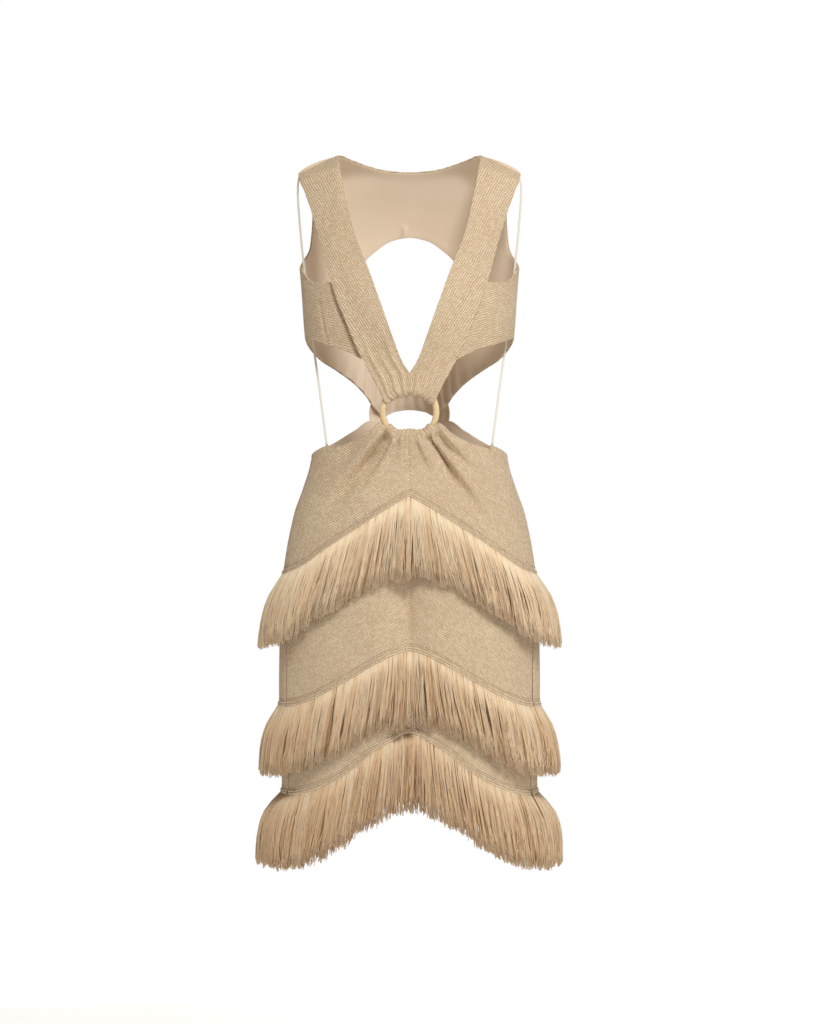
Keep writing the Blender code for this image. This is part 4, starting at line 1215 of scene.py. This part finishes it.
def thread_paths(k, front, rng):
    count = COUNT[front]
    share = float(share_of(side_seam(-700.0)))
    length = 2 * HALF_GIRTH * (share if front else 1 - share)
    w, which, middle = locks_along(count, length, rng)
    s = np.linspace(0, 1, THREAD_RINGS)[None, :]
    lock = rng.uniform(-1, 1, (which.max() + 1, 4))[which]
    own = rng.uniform(-1, 1, (count, 5))
    layer = np.abs(own[:, 4:5])
    curl = 2.0 + 7.0 * rng.uniform(0, 1, (count, 1)) ** 4
    shorter = 16.0 * rng.uniform(0, 1, (count, 1)) ** 5
    mm = 2.0 / length
    at = w * length / 2
    sweep = SWEEP * np.sin(pi * np.abs(w) ** 0.7) * np.sign(w) * (1 - bell(at, PARTING))
    bunch = ((at > BUNCH_FROM) & (at < BUNCH_TO))[:, None] & front & (k < 2)
    sweep = np.where(bunch, BUNCH_LEAN, sweep[:, None])
    pull = (PULL + PULL_MORE * np.abs(lock[:, 1:2])) * ease((layer - 0.24) / 0.2)
    across = (w[:, None] + (middle - w)[:, None] * pull * ease(s * 1.1)
              + (lock[:, 0:1] * 4.5 * layer + own[:, 0:1] * 3.0) * mm * s**1.6
              + own[:, 1:2] * 1.3 * mm * np.sin(s * (3 + 3 * layer) + own[:, 2:3] * 3)
              + lock[:, 2:3] * 2.2 * mm * np.sin(s * 3.6 + lock[:, 3:4] * 3) * s
              + own[:, 3:4] * curl * mm * s**5 + sweep * mm * s**1.35)
    root, _ = seam_face(k, w, ROOT_ABOVE, front)
    angle_for = front_angle if front else back_angle
    place_of = (lambda v: v) if front else (lambda v: np.clip(1 - np.abs(v), 0, 1))
    sign = np.where(across < 0, -1, 1)
    z0 = root[:, 2:3]
    flat_angle = angle_for(place_of(across), z0 + 0 * s)
    side = np.abs(np.sin(np.radians(flat_angle))) ** 3
    flare = lerp(FLARE_FRONT, FLARE_SIDE[k], side)
    hang = THREADS[k] + 3.6 * lock[:, 2:3] + own[:, 0:1] * 3.0 - shorter - flare * SIDE_SHORTER * side
    hang = hang + BUNCH_LONGER * bunch
    z = z0 - hang * s
    angle = angle_for(place_of(across), z) * (1 if front else sign)
    form = round_at(angle, z)
    out = outward_at(angle, z)
    out[..., 2] = 0
    out = unit(out)
    spread = 1 - (1 - s) ** FLARE_BOW[k]
    off = (CLOTH + 1.1 + flare * spread + (layer * 3.4 + lock[:, 3:4] * 1.6) * ease(s * 2.5)
           + own[:, 2:3] * 1.3 * s**4 + BUNCH_OUT * bunch * ease(s * 1.6))
    path = form + out * off[..., None]
    gap = root[:, None] - path[:, :1] + out[:, :1]
    fade = 1 - ease(s * 1.3)
    if front:
        fade = lerp(fade, 1 - 0.35 * s, bell(root[:, :1], 34))
    path = path + gap * fade[..., None]
    return path, out, lock, own, layer, s


# %% Tubes along the paths


def fringe(k, front):
    rng = np.random.default_rng(20 + 2 * k + front)
    path, out, lock, own, layer, s = thread_paths(k, front, rng)
    count = len(path)
    way = unit(np.gradient(path, axis=1))
    side = unit(np.cross(way, out))
    up = np.cross(side, way)
    radius = THREAD_R * (1 - 0.35 * s**2) * (0.85 + 0.3 * layer)
    corner = np.radians([90, 210, 330])
    ring = (np.cos(corner)[:, None] * side[:, :, None] + np.sin(corner)[:, None] * up[:, :, None])
    points = path[:, :, None] + ring * radius[..., None, None]
    number = np.arange(points.size // 3).reshape(count, THREAD_RINGS, 3)
    upper, lower = number[:, :-1], number[:, 1:]
    walls = np.stack([upper, np.roll(upper, -1, 2), np.roll(lower, -1, 2), lower], -1).reshape(-1, 4)
    faces = walls.tolist() + number[:, 0, ::-1].tolist() + number[:, -1].tolist()
    name = f"fringe_{row_name(k, front)}"
    obj = new_object(f"{name}_threads", points, faces)
    shade = TONE[k] + LOCK_TONE * lock[:, 0:1] + OWN_TONE * own[:, 1:2]
    # Painted shade: threads of the inner layer, under the others, are made darker.
    shade = shade - UNDER_PAINTED_SHADE * ease((0.38 - layer) / 0.2)
    tone = np.ones((count, THREAD_RINGS, 3, 4))
    tone[..., 0] = np.clip(shade, 0, 1)[..., None]
    # The paler tip in green is a painted highlight.
    tone[..., 1] = (s * (1.9 - 1.35 * s))[..., None]
    tone[..., 2] = k / 2
    tones = obj.data.color_attributes.new("tone", "FLOAT_COLOR", "POINT")
    tones.data.foreach_set("color", tone.ravel())
    face_out(obj)
    paint(obj, thread)
    belongs(obj, name)
    sewn_on[front].append(obj)
    lowest, highest = points.reshape(-1, 3).min(0), points.reshape(-1, 3).max(0)
    print(name, count, "threads", lowest.round(0), highest.round(0))


for k, front in ROWS:
    fringe(k, front)

# %% [markdown]
# ## The hanging ribbons
#
# A narrow satin ribbon on each side takes the weight of the skirt on a hanger. It starts inside the
# shoulder seam, runs down inside the bust panel and ends inside the skirt's top edge. It is a flat
# tube swept along the same route as its solid.

# %% Ribbons
RIBBON = (  # x, y, z
    (161.2, -1.8, -29.6), (163.7, -2, -41), (164, -2, -56), (161.8, -1, -90), (158.8, 0, -125),
    (155, 0, -160), (151, -3, -195), (142, -12, -271), (137, -22, -305), (129, -38, -362),
    (120.6, -50.9, -425.8),
)
RIBBON_WIDE, RIBBON_THICK, RIBBON_POINTS = 3.2, 0.8, 12
for side, tag in SIDES:
    z = np.linspace(RIBBON[0][2], RIBBON[-1][2], 61)
    x, y = (sampled([(r[2], r[c]) for r in RIBBON], step=0.25)(z) for c in (0, 1))
    path = np.stack([x * side, y, z], -1)
    way = unit(np.gradient(path, axis=0))
    flat_way = unit(np.cross(way, np.array([0, 1.0, 0])))
    thin_way = np.cross(way, flat_way)
    turn = np.linspace(0, 2 * pi, RIBBON_POINTS, endpoint=False)
    ring = (np.cos(turn)[None, :, None] * flat_way[:, None] * RIBBON_WIDE / 2
            + np.sin(turn)[None, :, None] * thin_way[:, None] * RIBBON_THICK / 2)
    points = path[:, None] + ring
    number = np.arange(points.size // 3).reshape(-1, RIBBON_POINTS)
    beside = np.roll(number, -1, axis=1)
    walls = np.stack([number[:-1], beside[:-1], beside[1:], number[1:]], -1).reshape(-1, 4)
    obj = new_object(f"ribbon_{tag}", points, walls.tolist() + number[[0, -1]].tolist())
    face_out(obj)
    paint(obj, satin)
    belongs(obj, f"hanger_ribbon_{tag}")
